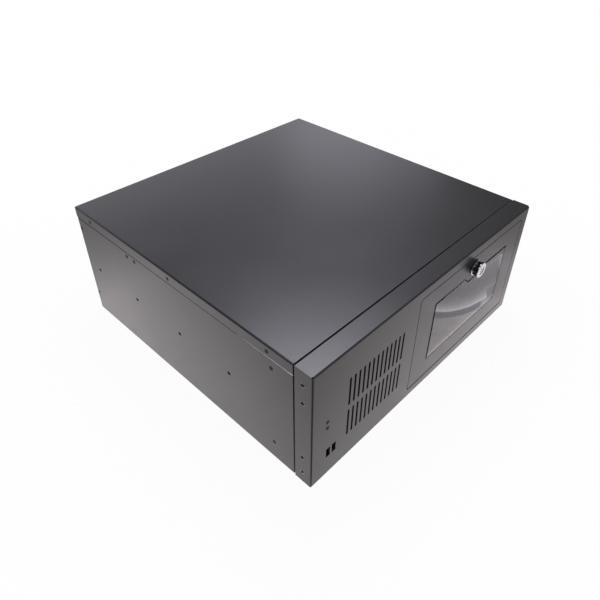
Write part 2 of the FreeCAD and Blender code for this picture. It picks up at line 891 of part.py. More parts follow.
def make_lock():
    shell = Piece("lock_body", LOCK_PLACE)
    section = shell.sketch(SIDE_VIEW)
    bore = "plug_radius + running_fit"
    outline(section, [
        ("-lock_out", bore),
        ("lock_barrel_length", bore),
        ("lock_barrel_length", "lock_barrel"),
        ("0", "lock_barrel"),
        ("0", "lock_head"),
        ("-lock_collar", "lock_head"),
        ("-lock_collar", "lock_neck"),
        ("-lock_out + 2 * lock_rim", "lock_neck"),
        ("-lock_out + 2 * lock_rim", "lock_head"),
        ("-lock_out + lock_rim", "lock_head"),
        ("-lock_out", "lock_head - lock_rim"),
    ])
    shell.turn(section, "H_Axis")

    seat = ("door_x", "bezel_in", "lock_z")
    nut = hexagon_post("y", seat, "nut_radius", "nut_thickness")
    keep(carve(nut, [rod("y", seat, "lock_barrel + play / 2", "nut_thickness")]), "lock_nut")

    plug = Piece("lock_plug", LOCK_PLACE)
    section = plug.sketch(SIDE_VIEW)
    outline(section, [
        ("-lock_out + plug_recess", "0"),
        ("cam_back", "0"),
        ("cam_back", "tail_radius"),
        ("cam_front", "tail_radius"),
        ("cam_front", "plug_radius"),
        ("-lock_out + plug_recess", "plug_radius"),
    ])
    plug.turn(section, "H_Axis")
    key = plug.sketch(FRONT_VIEW, "-lock_out")
    oblong(key, "-key_width / 2", "-key_height / 2", "key_width / 2", "key_height / 2")
    plug.pocket(key, "key_depth")

    cam = Piece("lock_cam", LOCK_PLACE)
    face = cam.sketch(FRONT_VIEW, "cam_front")
    cut_oblong(face, "-cam_width / 2", "-cam_width / 2", "cam_reach", "cam_width / 2", "cam_corner")
    circle(face, "0", "0", "tail_radius + running_fit")
    cam.pad(face, "cam_thickness")

    head = Piece("cam_screw", LOCK_PLACE)
    face = head.sketch(FRONT_VIEW, "cam_back")
    circle(face, "0", "0", "cam_screw_radius")
    head.pad(face, "cam_screw_length")


def make_lock_strike():
    """A Z-shaped keeper behind the bezel, over the door, that the cam turns behind."""
    strike = Piece("lock_strike")
    section = strike.sketch(SIDE_VIEW, "door_x - strike_width / 2")
    low = "door_top + door_gap + strike_gap"
    back = "front + cam_front - strike_gap"
    outline(section, [
        ("bezel_in", low),
        (back, low),
        (back, f"{low} + strike_height"),
        (f"{back} - sheet", f"{low} + strike_height"),
        (f"{back} - sheet", f"{low} + sheet"),
        ("bezel_in + sheet", f"{low} + sheet"),
        ("bezel_in + sheet", f"{low} + strike_height"),
        ("bezel_in", f"{low} + strike_height"),
    ])
    strike.pad(section, "strike_width")


# Fans

def make_fan(label, name, place):
    """A square fan along Y: a frame with its motor on four arms at the back, and the rotor."""
    frame = Piece(f"{label}_frame", place)
    face = frame.sketch(FRONT_VIEW)
    half = f"{name}_size / 2"
    cut_oblong(face, f"-{half}", f"-{half}", half, half, "fan_corner")
    circle(face, "0", "0", f"{name}_duct")
    frame.pad(face, "fan_depth")
    start = "fan_depth - fan_base"
    for across in (True, False):
        arm = frame.sketch(FRONT_VIEW, start)
        reach, thick = f"{name}_duct + fan_arm / 2", "fan_arm / 2"
        wide, tall = (reach, thick) if across else (thick, reach)
        oblong(arm, f"-({wide})", f"-({tall})", wide, tall)
        frame.pad(arm, "fan_base")
    motor = frame.sketch(FRONT_VIEW, start)
    circle(motor, "0", "0", f"{name}_hub")
    frame.pad(motor, "fan_base")
    bearing = frame.sketch(FRONT_VIEW, start)
    circle(bearing, "0", "0", "fan_shaft + running_fit")
    frame.pocket(bearing, "fan_base")

    rotor = Piece(f"{label}_rotor", place)
    hub = rotor.sketch(FRONT_VIEW, "fan_hub_inset")
    circle(hub, "0", "0", f"{name}_hub")
    rotor.pad(hub, "blade_zone")
    shaft = rotor.sketch(FRONT_VIEW, "fan_hub_inset")
    circle(shaft, "0", "0", "fan_shaft")
    rotor.pad(shaft, "fan_depth - fan_hub_inset - fan_hub_gap")
    root = rotor.sketch(SIDE_VIEW, f"{name}_hub - fan_blade")
    blade_section(root, "blade_rise", "blade_rise * blade_root_sweep")
    tip = rotor.sketch(SIDE_VIEW, f"{name}_duct + fan_blade")
    blade_section(tip, "blade_rise * blade_tip_rise", "blade_rise * blade_tip_sweep")
    blade = rotor.body.newObject("PartDesign::AdditiveLoft", "blade")
    blade.Profile = root
    blade.Sections = [tip]
    rotor.ring([blade], hub, "fan_blade_count")
    trim = rotor.sketch(FRONT_VIEW, "-fan_blade")
    circle(trim, "0", "0", f"{name}_duct - fan_tip_gap")
    circle(trim, "0", "0", f"2 * {name}_duct")
    rotor.pocket(trim, "2 * fan_depth")


def blade_section(sketch, rise, sweep):
    """A thin slanted section, its ends rise either way along Y and sweep either way along Z."""
    middle = "fan_hub_inset + blade_zone / 2"
    outline(sketch, [
        (f"{middle} - {rise}", f"-{sweep} - fan_blade / 2"),
        (f"{middle} + {rise}", f"{sweep} - fan_blade / 2"),
        (f"{middle} + {rise}", f"{sweep} + fan_blade / 2"),
        (f"{middle} - {rise}", f"-{sweep} + fan_blade / 2"),
    ])


def make_front_fan():
    make_fan("front_fan", "fan", ("vent_x", "frame_back", "vent_z"))


def make_filter():
    """A shallow moulded frame behind the vents that holds a washable foam mat."""
    frame = Piece("filter_frame")
    face = frame.sketch(FRONT_VIEW, "bezel_in")
    for inset in ("0", "filter_rim"):
        oblong(face, f"vent_x - filter_width / 2 + {inset}", f"vent_z - filter_height / 2 + {inset}",
               f"vent_x + filter_width / 2 - {inset}", f"vent_z + filter_height / 2 - {inset}")
    frame.pad(face, "filter_depth")
    inset = "filter_rim + play"
    foam = block(
        (f"vent_x - filter_width / 2 + {inset}", "bezel_in + play",
         f"vent_z - filter_height / 2 + {inset}"),
        (f"vent_x + filter_width / 2 - ({inset})", "bezel_in + play + foam_depth",
         f"vent_z + filter_height / 2 - ({inset})"))
    keep(foam, "filter_foam")


# Front frame, drives, switches, lamps and sockets

def make_front_bulkhead():
    frame = Piece("front_bulkhead")
    section = frame.sketch(TOP_VIEW, "inner_low")
    half = [
        ("inner_side - sheet", "frame_back"),
        ("inner_side - sheet", "frame_front + frame_flange"),
        ("inner_side", "frame_front + frame_flange"),
        ("inner_side", "frame_front"),
    ]
    outline(section, half + [(f"-({x})", y) for x, y in reversed(half)])
    frame.pad(section, "inner_top - inner_low")
    openings = frame.sketch(FRONT_VIEW, "frame_front - sheet")
    circle(openings, "vent_x", "vent_z", "fan_duct")
    oblong(openings, "bay_left", "bay_base", "bay_right", "bay_top")
    circle(openings, "switch_x", "power_z", "power_body + play / 2")
    circle(openings, "switch_x", "reset_z", "reset_body + play / 2")
    frame.pocket(openings, "through")


def make_drive_cage():
    """A bent cage on two feet: walls, a top and one shelf, open at both ends."""
    cage = Piece("drive_cage")
    section = cage.sketch(FRONT_VIEW, "frame_back")
    wall = "cage_wall"
    outline(section, [
        ("cage_left - cage_foot", "sheet"),
        (f"cage_left + {wall}", "sheet"),
        (f"cage_left + {wall}", f"bay_base - {wall}"),
        (f"cage_right - {wall}", f"bay_base - {wall}"),
        (f"cage_right - {wall}", "sheet"),
        ("cage_right + cage_foot", "sheet"),
        ("cage_right + cage_foot", f"sheet + {wall}"),
        ("cage_right", f"sheet + {wall}"),
        ("cage_right", f"bay_top + {wall}"),
        ("cage_left", f"bay_top + {wall}"),
        ("cage_left", f"sheet + {wall}"),
        ("cage_left - cage_foot", f"sheet + {wall}"),
    ])
    oblong(section, "bay_left", "bay_base", "bay_right", "bay_top")
    cage.pad(section, "cage_length")
    slots = cage.sketch(SIDE_VIEW, "-width")
    height = "bay_base + bay_height / 2"
    start = "frame_back + cage_slot_start"
    oblong(slots, start, f"{height} - cage_slot", f"{start} + cage_slot_length", f"{height} + cage_slot")
    cut = cage.pocket(slots, "across")
    cage.row([cut], slots, "V_Axis", "(bay_count - 1) * bay_height", "bay_count")


def make_bay_covers():
    """Moulded blank covers, hollow behind, each with a shallow finger grip."""
    for step in range(DIMENSIONS["bay_count"]):
        cover = Piece(f"bay_cover_{step + 1}")
        low = f"bay_base + {step} * bay_height + bay_cover_gap"
        high = f"bay_base + {step + 1} * bay_height - bay_cover_gap"
        left, right = "bay_left + bay_cover_gap", "bay_right - bay_cover_gap"
        front = "frame_front - bay_cover_proud"
        face = cover.sketch(FRONT_VIEW, front)
        oblong(face, left, low, right, high)
        cover.pad(face, "bay_cover_depth")
        hollow = cover.sketch(FRONT_VIEW, f"{front} + bay_cover_front")
        oblong(hollow, f"{left} + bay_cover_wall", f"{low} + bay_cover_wall",
               f"{right} - bay_cover_wall", f"{high} - bay_cover_wall")
        cover.pocket(hollow, "bay_cover_depth")
        grip = cover.sketch(FRONT_VIEW, front)
        middle = f"({low} + {high}) / 2"
        wide, tall = "bay_cover_grip_width / 2", "bay_cover_grip_height / 2"
        cut_oblong(grip, f"door_x - {wide}", f"{middle} - {tall}", f"door_x + {wide}",
                   f"{middle} + {tall}", "bay_cover_grip_corner")
        cover.pocket(grip, "bay_cover_grip")


def make_drive():
    front = "frame_back + bay_cover_depth + bay_cover_gap + drive_height"
    drive = block(
        ("door_x - drive_width / 2", front, "bay_base"),
        ("door_x + drive_width / 2", f"{front} + drive_length", "bay_base + drive_height"))
    keep(drive, "solid_state_drive")


def make_switch(name):
    """A panel push switch: a fixed body with a collar, and the button that slides in it."""
    spot = ("switch_x", "frame_front", f"{name}_z")
    body = Piece(f"{name}_switch_body", spot)
    section = body.sketch(SIDE_VIEW)
    bore = f"{name}_radius + running_fit"
    floor = "button_stem + button_travel + play"
    outline(section, [
        ("-switch_collar_length", bore),
        (floor, bore),
        (floor, "0"),
        ("switch_body_length", "0"),
        ("switch_body_length", f"{name}_body"),
        ("0", f"{name}_body"),
        ("0", f"{name}_body + switch_collar"),
        ("-switch_collar_length", f"{name}_body + switch_collar"),
    ])
    body.turn(section, "H_Axis")
    button = Piece(f"{name}_button", spot)
    section = button.sketch(SIDE_VIEW)
    nose = "-switch_collar_length - button_proud"
    outline(section, [
        (nose, "0"),
        ("button_stem", "0"),
        ("button_stem", f"{name}_radius"),
        (f"{nose} + button_edge", f"{name}_radius"),
        (nose, f"{name}_radius - button_edge"),
    ])
    button.turn(section, "H_Axis")


def make_lamps():
    for name, sign in (("upper", "+"), ("lower", "-")):
        lamp = Piece(f"led_{name}", ("lamp_x", "front", f"lamp_z {sign} lamp_pitch / 2"))
        section = lamp.sketch(SIDE_VIEW)
        outline(section, [
            ("-lamp_proud", "0"),
            ("lamp_length", "0"),
            ("lamp_length", "lamp_radius"),
            ("-lamp_proud", "lamp_radius"),
        ])
        lamp.turn(section, "H_Axis")


def make_usb():
    for hand, sign in (("left", "-"), ("right", "+")):
        x = f"usb_x {sign} usb_pitch / 2"
        socket = Piece(f"usb_socket_{hand}", (x, "usb_front", "usb_z"))
        face = socket.sketch(FRONT_VIEW)
        oblong(face, "-usb_width / 2", "-usb_height / 2", "usb_width / 2", "usb_height / 2")
        socket.pad(face, "usb_length")
        hollow = socket.sketch(FRONT_VIEW)
        oblong(hollow, "-usb_width / 2 + usb_wall", "-usb_height / 2 + usb_wall",
               "usb_width / 2 - usb_wall", "usb_height / 2 - usb_wall")
        socket.pocket(hollow, "usb_length - usb_base")
        tongue = socket.sketch(FRONT_VIEW, "usb_length - usb_base - usb_tongue_length")
        oblong(tongue, "-usb_tongue / 2 + usb_wall", "-usb_tongue_height / 2",
               "usb_tongue / 2 + usb_wall", "usb_tongue_height / 2")
        socket.pad(tongue, "usb_tongue_length")
    board = block(
        ("usb_x - usb_board_width / 2", "usb_back", "usb_z - usb_board_height / 2"),
        ("usb_x + usb_board_width / 2", "usb_board_back", "usb_z + usb_board_height / 2"))
    keep(board, "usb_board")
    spacers = [
        hexagon_post("y", ("usb_x", "usb_board_back", f"usb_z {sign} spacer_pitch / 2"),
                     "spacer_radius", "frame_front - usb_board_back")
        for sign in "+-"
    ]
    group(spacers, "usb_spacers")


# Board and what stands on it

def make_motherboard():
    left, right = "board_x - board_width / 2", "board_x + board_width / 2"
    board = block((left, "board_front", "board_low"), (right, "board_back", "board_top"))
    keep(board, "motherboard")
    posts = []
    for x in (f"{left} + standoff_inset", "board_x", f"{right} - standoff_inset"):
        for y in ("board_front + standoff_inset", "(board_front + board_back) / 2",
                  "board_back - standoff_inset"):
            posts.append(hexagon_post("z", (x, y, "sheet"), "standoff_radius", "standoff_height"))
    group(posts, "board_standoffs")
    chip = block(
        ("cpu_x - cpu_size / 2", "cpu_back - cpu_size / 2", "board_top"),
        ("cpu_x + cpu_size / 2", "cpu_back + cpu_size / 2", "sink_low"))
    keep(chip, "processor")


def make_cooler():
    """A finned sink that the front fan blows through."""
    sink = Piece("cpu_heatsink", ("cpu_x", "cpu_back", "sink_low"))
    half = "sink_size / 2"
    face = sink.sketch(TOP_VIEW)
    oblong(face, f"-{half}", f"-{half}", half, half)
    sink.pad(face, "sink_base")
    fin = sink.sketch(TOP_VIEW, "sink_base")
    oblong(fin, f"-{half}", f"-{half}", f"-{half} + sink_fin", half)
    blade = sink.pad(fin, "sink_height")
    sink.row([blade], fin, "H_Axis", "sink_size - sink_fin", "sink_fin_count")


def make_memory():
    modules = []
    for step in range(DIMENSIONS["memory_count"]):
        x = f"memory_x - {step} * memory_pitch"
        y = "board_back - memory_setback"
        socket = block(
            (f"{x} - memory_socket / 2", f"{y} - memory_length / 2 - memory_socket", "board_top"),
            (f"{x} + memory_socket / 2", f"{y} + memory_length / 2 + memory_socket",
             "board_top + memory_socket_height"))
        card = block(
            (f"{x} - memory_thickness / 2", f"{y} - memory_length / 2",
             "board_top + memory_socket_height"),
            (f"{x} + memory_thickness / 2", f"{y} + memory_length / 2",
             "board_top + memory_height"))
        modules.append(join([socket, card]))
    group(modules, "memory_modules")


def make_expansion_sockets():
    sockets = []
    for step in range(DIMENSIONS["slot_count"]):
        x = f"slot_first_x - {step} * slot_pitch"
        back = "board_back - slot_socket_setback"
        sockets.append(block(
            (f"{x} - slot_socket_width / 2", f"{back} - slot_socket_length", "board_top"),
            (f"{x} + slot_socket_width / 2", back, "board_top + slot_socket_height")))
    group(sockets, "expansion_sockets")


def make_card_bar():
    """A channel across the case with a tab at each end for its two screws."""
    bar = Piece("card_bar")
    section = bar.sketch(SIDE_VIEW, "-inner_side")
    front, back = "bar_y - bar_width / 2", "bar_y + bar_width / 2"
    outline(section, [
        (front, "bar_top - bar_height"),
        (f"{front} + sheet", "bar_top - bar_height"),
        (f"{front} + sheet", "bar_top - sheet"),
        (f"{back} - sheet", "bar_top - sheet"),
        (f"{back} - sheet", "bar_top - bar_height"),
        (back, "bar_top - bar_height"),
        (back, "bar_top"),
        (front, "bar_top"),
    ])
    bar.pad(section, "2 * inner_side")
    for start in ("-inner_side", "inner_side - sheet"):
        tab = bar.sketch(SIDE_VIEW, start)
        oblong(tab, front, "bar_top - bar_tab", back, "bar_top")
        bar.pad(tab, "sheet")


# Rear openings, ports and power supply

def make_slot_covers():
    covers = []
    for step in range(DIMENSIONS["slot_count"]):
        x = f"slot_first_x - {step} * slot_pitch"
        half = "slot_cover_width / 2"
        blade = block(
            (f"{x} - {half}", "rear_in - slot_cover", "board_top + sheet"),
            (f"{x} + {half}", "rear_in", "ledge_top + slot_cover"))
        tab = block(
            (f"{x} - {half}", "rear_in - slot_tab", "ledge_top"),
            (f"{x} + {half}", "rear_in", "ledge_top + slot_cover"))
        covers.append(join([blade, tab]))
    group(covers, "slot_covers")


PORT_COLUMNS = {
    # place in the shield, then the sockets of that column from the board up
    "port_first_x": ("bus", "bus"),
    "port_second_x": ("bus", "bus"),
    "port_third_x": ("bus", "bus", "net"),
    "port_fourth_x": ("video",),
}


def make_ports():
    """The board's rear sockets in their metal shells, and the pressed shield round them."""
    shield = block(
        ("io_x - io_width / 2 - io_lip", "rear_in - io_shield", "io_base - io_lip"),
        ("io_x + io_width / 2 + io_lip", "rear_in", "io_base + io_height + io_lip"))
    shells, holes = [], []
    mouth = "case_end + port_proud"
    for column, kinds in PORT_COLUMNS.items():
        x, low = f"io_x + {column}", "board_top + port_foot"
        high = " + ".join([low] + [f"{kind}_height + port_wall" for kind in kinds] + ["port_wall"])
        reach = f"{kinds[0]}_width / 2 + port_wall"
        left, right = f"{x} - ({reach})", f"{x} + {reach}"
        shell = block((left, "rear_in - port_depth", low), (right, mouth, high))
        hollows, tongues = [], []
        foot = low
        for kind in kinds:
            foot = f"{foot} + port_wall"
            head = f"{foot} + {kind}_height"
            sides = f"{x} - {kind}_width / 2", f"{x} + {kind}_width / 2"
            hollows.append(block((sides[0], f"{mouth} - port_recess", foot),
                                 (sides[1], f"{mouth} + port_wall", head)))
            if kind != "net":
                middle = f"({foot} + {head}) / 2"
                tongues.append(block(
                    (f"{sides[0]} + port_wall", f"{mouth} - port_recess", f"{middle} - port_tongue / 2"),
                    (f"{sides[1]} - port_wall", f"{mouth} - port_wall", f"{middle} + port_tongue / 2")))
            foot = head
        shells.append(join([carve(shell, hollows)] + tongues))
        holes.append(block((f"{left} - play", "rear_in - through", f"{low} - play"),
                           (f"{right} + play", "rear", f"{high} + play")))
    keep(carve(shield, holes), "io_shield")
    group(shells, "io_ports")


def make_power_supply():
    """A hollow sheet case on edge, its rear plate carrying the fan, the inlet and the switch."""
    case = Piece("psu_case")
    face = case.sketch(FRONT_VIEW, "psu_front")
    oblong(face, "psu_left", "sheet", "psu_right", "psu_top")
    case.pad(face, "psu_back - psu_front")
    hollow = case.sketch(FRONT_VIEW, "psu_front + psu_plate")
    oblong(hollow, "psu_left + psu_plate", "sheet + psu_plate", "psu_right - psu_plate",
           "psu_top - psu_plate")
    case.pocket(hollow, "psu_depth")
    make_fan("psu_fan", "small_fan", ("psu_x", "psu_back - fan_depth", "psu_fan_z"))

    plate = Piece("psu_rear_plate")
    face = plate.sketch(FRONT_VIEW, "psu_back")
    oblong(face, "psu_left", "sheet", "psu_right", "psu_top")
    for middle, name, gap in (("psu_x + inlet_x", "inlet", "play / 2"),
                              ("rocker_middle", "rocker", "rocker_gap + rocker_wall + play / 2")):
        oblong(face, f"{middle} - {name}_width / 2 - ({gap})", f"inlet_z - {name}_height / 2 - ({gap})",
               f"{middle} + {name}_width / 2 + {gap}", f"inlet_z + {name}_height / 2 + {gap}")
    plate.pad(face, "psu_plate")
    slot = plate.sketch(FRONT_VIEW, "psu_back - psu_plate")
    first = "psu_x - (grille_count - 1) / 2 * grille_pitch"
    upright_slot(slot, first, "psu_fan_z - grille_reach", "psu_fan_z + grille_reach",
                 "grille_slot / 2")
    cut = plate.pocket(slot, "3 * psu_plate")
    plate.row([cut], slot, "H_Axis", "(grille_count - 1) * grille_pitch", "grille_count")


def make_power_inlet():
    """A flanged mains inlet: a deep recess with three flat pins."""
    inlet = Piece("psu_inlet", ("psu_x + inlet_x", "rear_in", "inlet_z"))
    wide, tall = "inlet_width / 2", "inlet_height / 2"
    flange = inlet.sketch(FRONT_VIEW)
    rim = "inlet_flange_rim"
    rounded(flange, f"-{wide} - {rim}", f"-{tall} - {rim}", f"{wide} + {rim}", f"{tall} + {rim}",
            rim, rim)
    inlet.pad(flange, "inlet_flange")
    shell = inlet.sketch(FRONT_VIEW)
    oblong(shell, f"-{wide}", f"-{tall}", wide, tall)
    inlet.pad(shell, "inlet_depth", back=True)
    wall = "inlet_wall"
    mouth = inlet.sketch(FRONT_VIEW, "inlet_flange")
    cut = "inlet_corner"
    outline(mouth, [
        (f"-{wide} + {wall}", f"-{tall} + {wall}"), (f"{wide} - {wall}", f"-{tall} + {wall}"),
        (f"{wide} - {wall}", f"{tall} - {wall} - {cut}"), (f"{wide} - {wall} - {cut}", f"{tall} - {wall}"),
        (f"-{wide} + {wall} + {cut}", f"{tall} - {wall}"),
        (f"-{wide} + {wall}", f"{tall} - {wall} - {cut}"),
    ])
    inlet.pocket(mouth, "inlet_recess", back=True)
    pins = inlet.sketch(FRONT_VIEW, "inlet_flange - inlet_recess")
    pin_x, pin_z = "inlet_pin_width / 2", "inlet_pin_height / 2"
    for x, z in (("-inlet_pin_pitch / 2", "-inlet_pin_rise / 2"), ("0", "inlet_pin_rise"),
                 ("inlet_pin_pitch / 2", "-inlet_pin_rise / 2")):
        oblong(pins, f"{x} - {pin_x}", f"{z} - {pin_z}", f"{x} + {pin_x}", f"{z} + {pin_z}")
    inlet.pad(pins, "inlet_pin_length")


def make_power_switch():
    """A rocker on an axle in its own frame, tipped to one side at rest."""
    half_x, half_z = "rocker_width / 2 + rocker_gap", "rocker_height / 2 + rocker_gap"
    wall, rim = "rocker_wall", "rocker_rim"

    def shell(grow, back, front):
        return block((f"rocker_middle - ({half_x}) - ({grow})", back, f"inlet_z - ({half_z}) - ({grow})"),
                     (f"rocker_middle + {half_x} + {grow}", front, f"inlet_z + {half_z} + {grow}"))

    depth = "rear_in - rocker_depth - rocker_gap"
    axle = f"rocker_width + 2 * rocker_gap + 2 * {wall}"
    pivot = (f"rocker_middle - ({axle}) / 2", "rear_in - rocker_depth / 2", "inlet_z")
    solid = join([shell(wall, f"{depth} - {wall}", "rear_in"),
                  shell(f"{wall} + {rim}", "rear_in", "rear_in + sheet")])
    bore = rod("x", pivot, "rocker_pivot + running_fit", axle)
    keep(carve(solid, [shell("0", depth, "rear"), bore]), "psu_switch_frame")
    rocker = Piece("psu_switch", pivot)
    section = rocker.sketch(SIDE_VIEW, f"{wall} + rocker_gap")
    top = "rocker_depth / 2 + rocker_out"
    outline(section, [
        ("-rocker_back", "-rocker_root"), ("-rocker_back", "rocker_root"),
        ("rocker_depth / 2 - rocker_dip", "rocker_height / 2"), (top, "rocker_height / 2"),
        (f"{top} - rocker_dip", "0"), (top, "-rocker_height / 2"),
        ("rocker_depth / 2 - rocker_dip", "-rocker_height / 2"),
    ])
    rocker.pad(section, "rocker_width")
    pin = rocker.sketch(SIDE_VIEW)
    circle(pin, "0", "0", "rocker_pivot")
    rocker.pad(pin, axle)
    bind(rocker.body, "Placement.Rotation.Angle", "rocker_tilt")
    rocker.body.Placement.Rotation = Rotation(Vector(1, 0, 0), measure("rocker_tilt"))


for make in (
    make_base_pan, make_top_cover, make_front_bezel, make_rear_panel, make_door_panel,
    make_door_window, make_hinge, make_lock, make_lock_strike,
    make_front_bulkhead, make_filter, make_front_fan, make_drive_cage, make_bay_covers, make_drive,
    make_lamps, make_usb, make_motherboard, make_cooler, make_memory, make_expansion_sockets,
    make_card_bar, make_slot_covers, make_ports, make_power_supply, make_power_inlet,
    make_power_switch,
):
    make()
for switch in ("power", "reset"):
    make_switch(switch)

doc.recompute()
failed = [
    thing.Label for thing in doc.Objects
    if "Invalid" in thing.State or "Error" in thing.State
]
failed += [part.Label for part in SUB_PARTS if part.Shape.isNull() or not part.Shape.isValid()]
if failed:
    raise RuntimeError("these did not build: " + ", ".join(failed))

os.makedirs("parts", exist_ok=True)
for part in SUB_PARTS:
    part.Shape.exportStep(f"parts/{part.Label}.step")
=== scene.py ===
import math

import bpy
from mathutils import Matrix, Vector


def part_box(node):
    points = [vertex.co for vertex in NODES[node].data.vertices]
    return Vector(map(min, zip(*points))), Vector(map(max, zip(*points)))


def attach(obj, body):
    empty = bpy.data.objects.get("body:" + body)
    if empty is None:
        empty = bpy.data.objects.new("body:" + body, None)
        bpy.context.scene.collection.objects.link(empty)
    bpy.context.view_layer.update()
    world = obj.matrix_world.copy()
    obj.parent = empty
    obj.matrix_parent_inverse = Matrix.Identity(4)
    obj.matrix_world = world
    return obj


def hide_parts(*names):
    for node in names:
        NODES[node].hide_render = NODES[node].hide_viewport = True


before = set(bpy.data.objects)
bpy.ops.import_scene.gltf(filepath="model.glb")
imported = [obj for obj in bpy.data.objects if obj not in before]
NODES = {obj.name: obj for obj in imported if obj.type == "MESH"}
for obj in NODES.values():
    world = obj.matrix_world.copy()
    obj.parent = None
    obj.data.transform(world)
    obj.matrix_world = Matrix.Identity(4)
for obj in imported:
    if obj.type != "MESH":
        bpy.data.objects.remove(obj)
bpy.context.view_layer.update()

MM = 0.001

# Places on the case, in millimetres from the middle of its underside.
FRONT, REAR_FACE, SIDE_FACE = -218.5, 217.1, 215.0
CASE_START = -192.4
SLIT_Z = 160.0
LOCK_X, LOCK_Z = 80.4, 145.2
LAMP_X = -191.0
SOCKET_Z = 38.9

# The left and right sides, each with the turn that makes a front-facing piece face outwards.
QUARTER_TURN = math.pi / 2
SIDES = ((-1, -QUARTER_TURN), (1, QUARTER_TURN))

# Shader tools. The sizes that they take are in millimetres.

# The Mix node's sockets when it mixes colours.
MIX_FACTOR, MIX_FIRST, MIX_SECOND, MIX_RESULT = 0, 6, 7, 2


class Wire:
    """A shader socket that is written in sums; each operator adds a node."""

    def __init__(self, finish, socket):
        self.finish, self.socket = finish, socket

    def math(self, operation, *terms):
        return self.finish.node("ShaderNodeMath", {"operation": operation}, dict(enumerate(terms)))

    def __add__(self, other):
        return self.math("ADD", self, other)

    def __radd__(self, other):
        return self.math("ADD", other, self)

    def __sub__(self, other):
        return self.math("SUBTRACT", self, other)

    def __rsub__(self, other):
        return self.math("SUBTRACT", other, self)

    def __mul__(self, other):
        return self.math("MULTIPLY", self, other)

    def __rmul__(self, other):
        return self.math("MULTIPLY", other, self)

    def __truediv__(self, other):
        return self.math("DIVIDE", self, other)

    def __rtruediv__(self, other):
        return self.math("DIVIDE", other, self)

    def __lt__(self, other):
        return self.math("LESS_THAN", self, other)

    def __gt__(self, other):
        return self.math("GREATER_THAN", self, other)

    def __abs__(self):
        return self.math("ABSOLUTE", self)

    def clip(self, low=0.0, high=1.0):
        return self.finish.node("ShaderNodeClamp", {}, {"Value": self, "Min": low, "Max": high})


class Finish:
    """The node tree of a material or of the world, drawn afresh."""

    def __init__(self, holder):
        holder.use_nodes = True
        self.holder, self.tree = holder, holder.node_tree
        self.tree.nodes.clear()

    def node(self, kind, settings=None, sockets=None, out=0):
        """Adds one node: its type, then its settings, then its sockets' values or links."""
        made = self.tree.nodes.new(kind)
        for key, value in (settings or {}).items():
            if key == "stops":
                stops = made.color_ramp.elements
                while len(stops) < len(value):
                    stops.new(1.0)
                for stop, (place, shade) in zip(stops, value):
                    stop.position, stop.color = place, (shade, shade, shade, 1.0)
            else:
                setattr(made, key, value)
        for key, value in (sockets or {}).items():
            if isinstance(value, Wire):
                self.tree.links.new(value.socket, made.inputs[key])
            else:
                made.inputs[key].default_value = value
        return Wire(self, made.outputs[out]) if made.outputs else None

    def place(self):
        return self.node("ShaderNodeTexCoord", out="Object")

    def axes(self, place):
        """A place's X, Y and Z, each as a wire of its own."""
        split = self.node("ShaderNodeSeparateXYZ", {}, {"Vector": place}).socket.node
        return [Wire(self, output) for output in split.outputs]

    def stretched(self, place, factors):
        return self.node("ShaderNodeMapping", {}, {"Vector": place, "Scale": factors})

    def noise(self, place, size, detail=2.0):
        """Soft noise whose blotches are about this size."""
        sockets = {"Vector": place, "Scale": 1.0 / (size * MM), "Detail": detail}
        return self.node("ShaderNodeTexNoise", {}, sockets)

    def cells(self, place, size, out="Distance"):
        return self.node("ShaderNodeTexVoronoi", {}, {"Vector": place, "Scale": 1.0 / (size * MM)}, out)

    def ramp(self, value, stops):
        return self.node("ShaderNodeValToRGB", {"stops": stops}, {"Fac": value})

    def between(self, mask, first, second):
        """The first colour where the mask is 0, the second where it is 1."""
        sockets = {MIX_FACTOR: mask, MIX_FIRST: first, MIX_SECOND: second}
        return self.node("ShaderNodeMix", {"data_type": "RGBA"}, sockets, MIX_RESULT)

    def scaled(self, colour, factor):
        """A colour made brighter or dimmer."""
        return self.node("ShaderNodeVectorMath", {"operation": "SCALE"}, {0: colour, "Scale": factor})

    def soft_edges(self, radius):
        return self.node("ShaderNodeBevel", {"samples": 4}, {"Radius": radius * MM})

    def bump(self, height, strength, depth, normal=None):
        sockets = {"Height": height, "Strength": strength, "Distance": depth * MM}
        if normal:
            sockets["Normal"] = normal
        return self.node("ShaderNodeBump", {}, sockets)

    def surface(self, sockets):
        shader = self.node("ShaderNodeBsdfPrincipled", {}, sockets)
        self.node("ShaderNodeOutputMaterial", {}, {"Surface": shader})
        return self.holder


def material(name):
    """A new material's finish, and the place on the piece that its patterns follow."""
    finish = Finish(bpy.data.materials.new(name))
    return finish, finish.place()


def grey(level, blue=0.0, red=0.0):
    """A grey, or one that leans to blue with a trace of red, or to red."""
    red_in_blue = 0.15
    return (level * (1 + red_in_blue * blue + red), level, level * (1 + blue), 1.0)


# Finishes.

def powder_coat():
    """Satin black powder coat with its fine orange peel, and a painted dark reflection on the cover's long
    bends.
    """
    coat, place = material("satin_black_powder_coat")
    peel = coat.noise(place, 1.1)
    sand = coat.noise(place, 0.35, 1.0)
    drift = coat.noise(place, 90, 3.0)
    bend_x, bend_z, bend_fade, end_fade = 213.0, 174.0, 0.8, 1.0
    x, y, z = coat.axes(place)
    outward = (abs(x) - bend_x * MM) / (bend_fade * MM)
    upward = (z - bend_z * MM) / (bend_fade * MM)
    rearward = (y - CASE_START * MM) / (end_fade * MM)
    # Painted dark reflection: near-black colour along the cover's long bends.
    bend_dark_reflection = outward.clip() * upward.clip() * rearward.clip()
    flat = coat.between(0.55 * drift + 0.45 * sand, grey(0.022), grey(0.036))
    return coat.surface({
        "Base Color": coat.between(bend_dark_reflection, flat, grey(0.004)),
        "Roughness": 0.25 + 0.06 * drift + 0.04 * sand,
        "Normal": coat.bump(0.6 * peel + 0.4 * sand, 0.22, 0.05, coat.soft_edges(0.5)),
        "IOR": 1.75,
    })


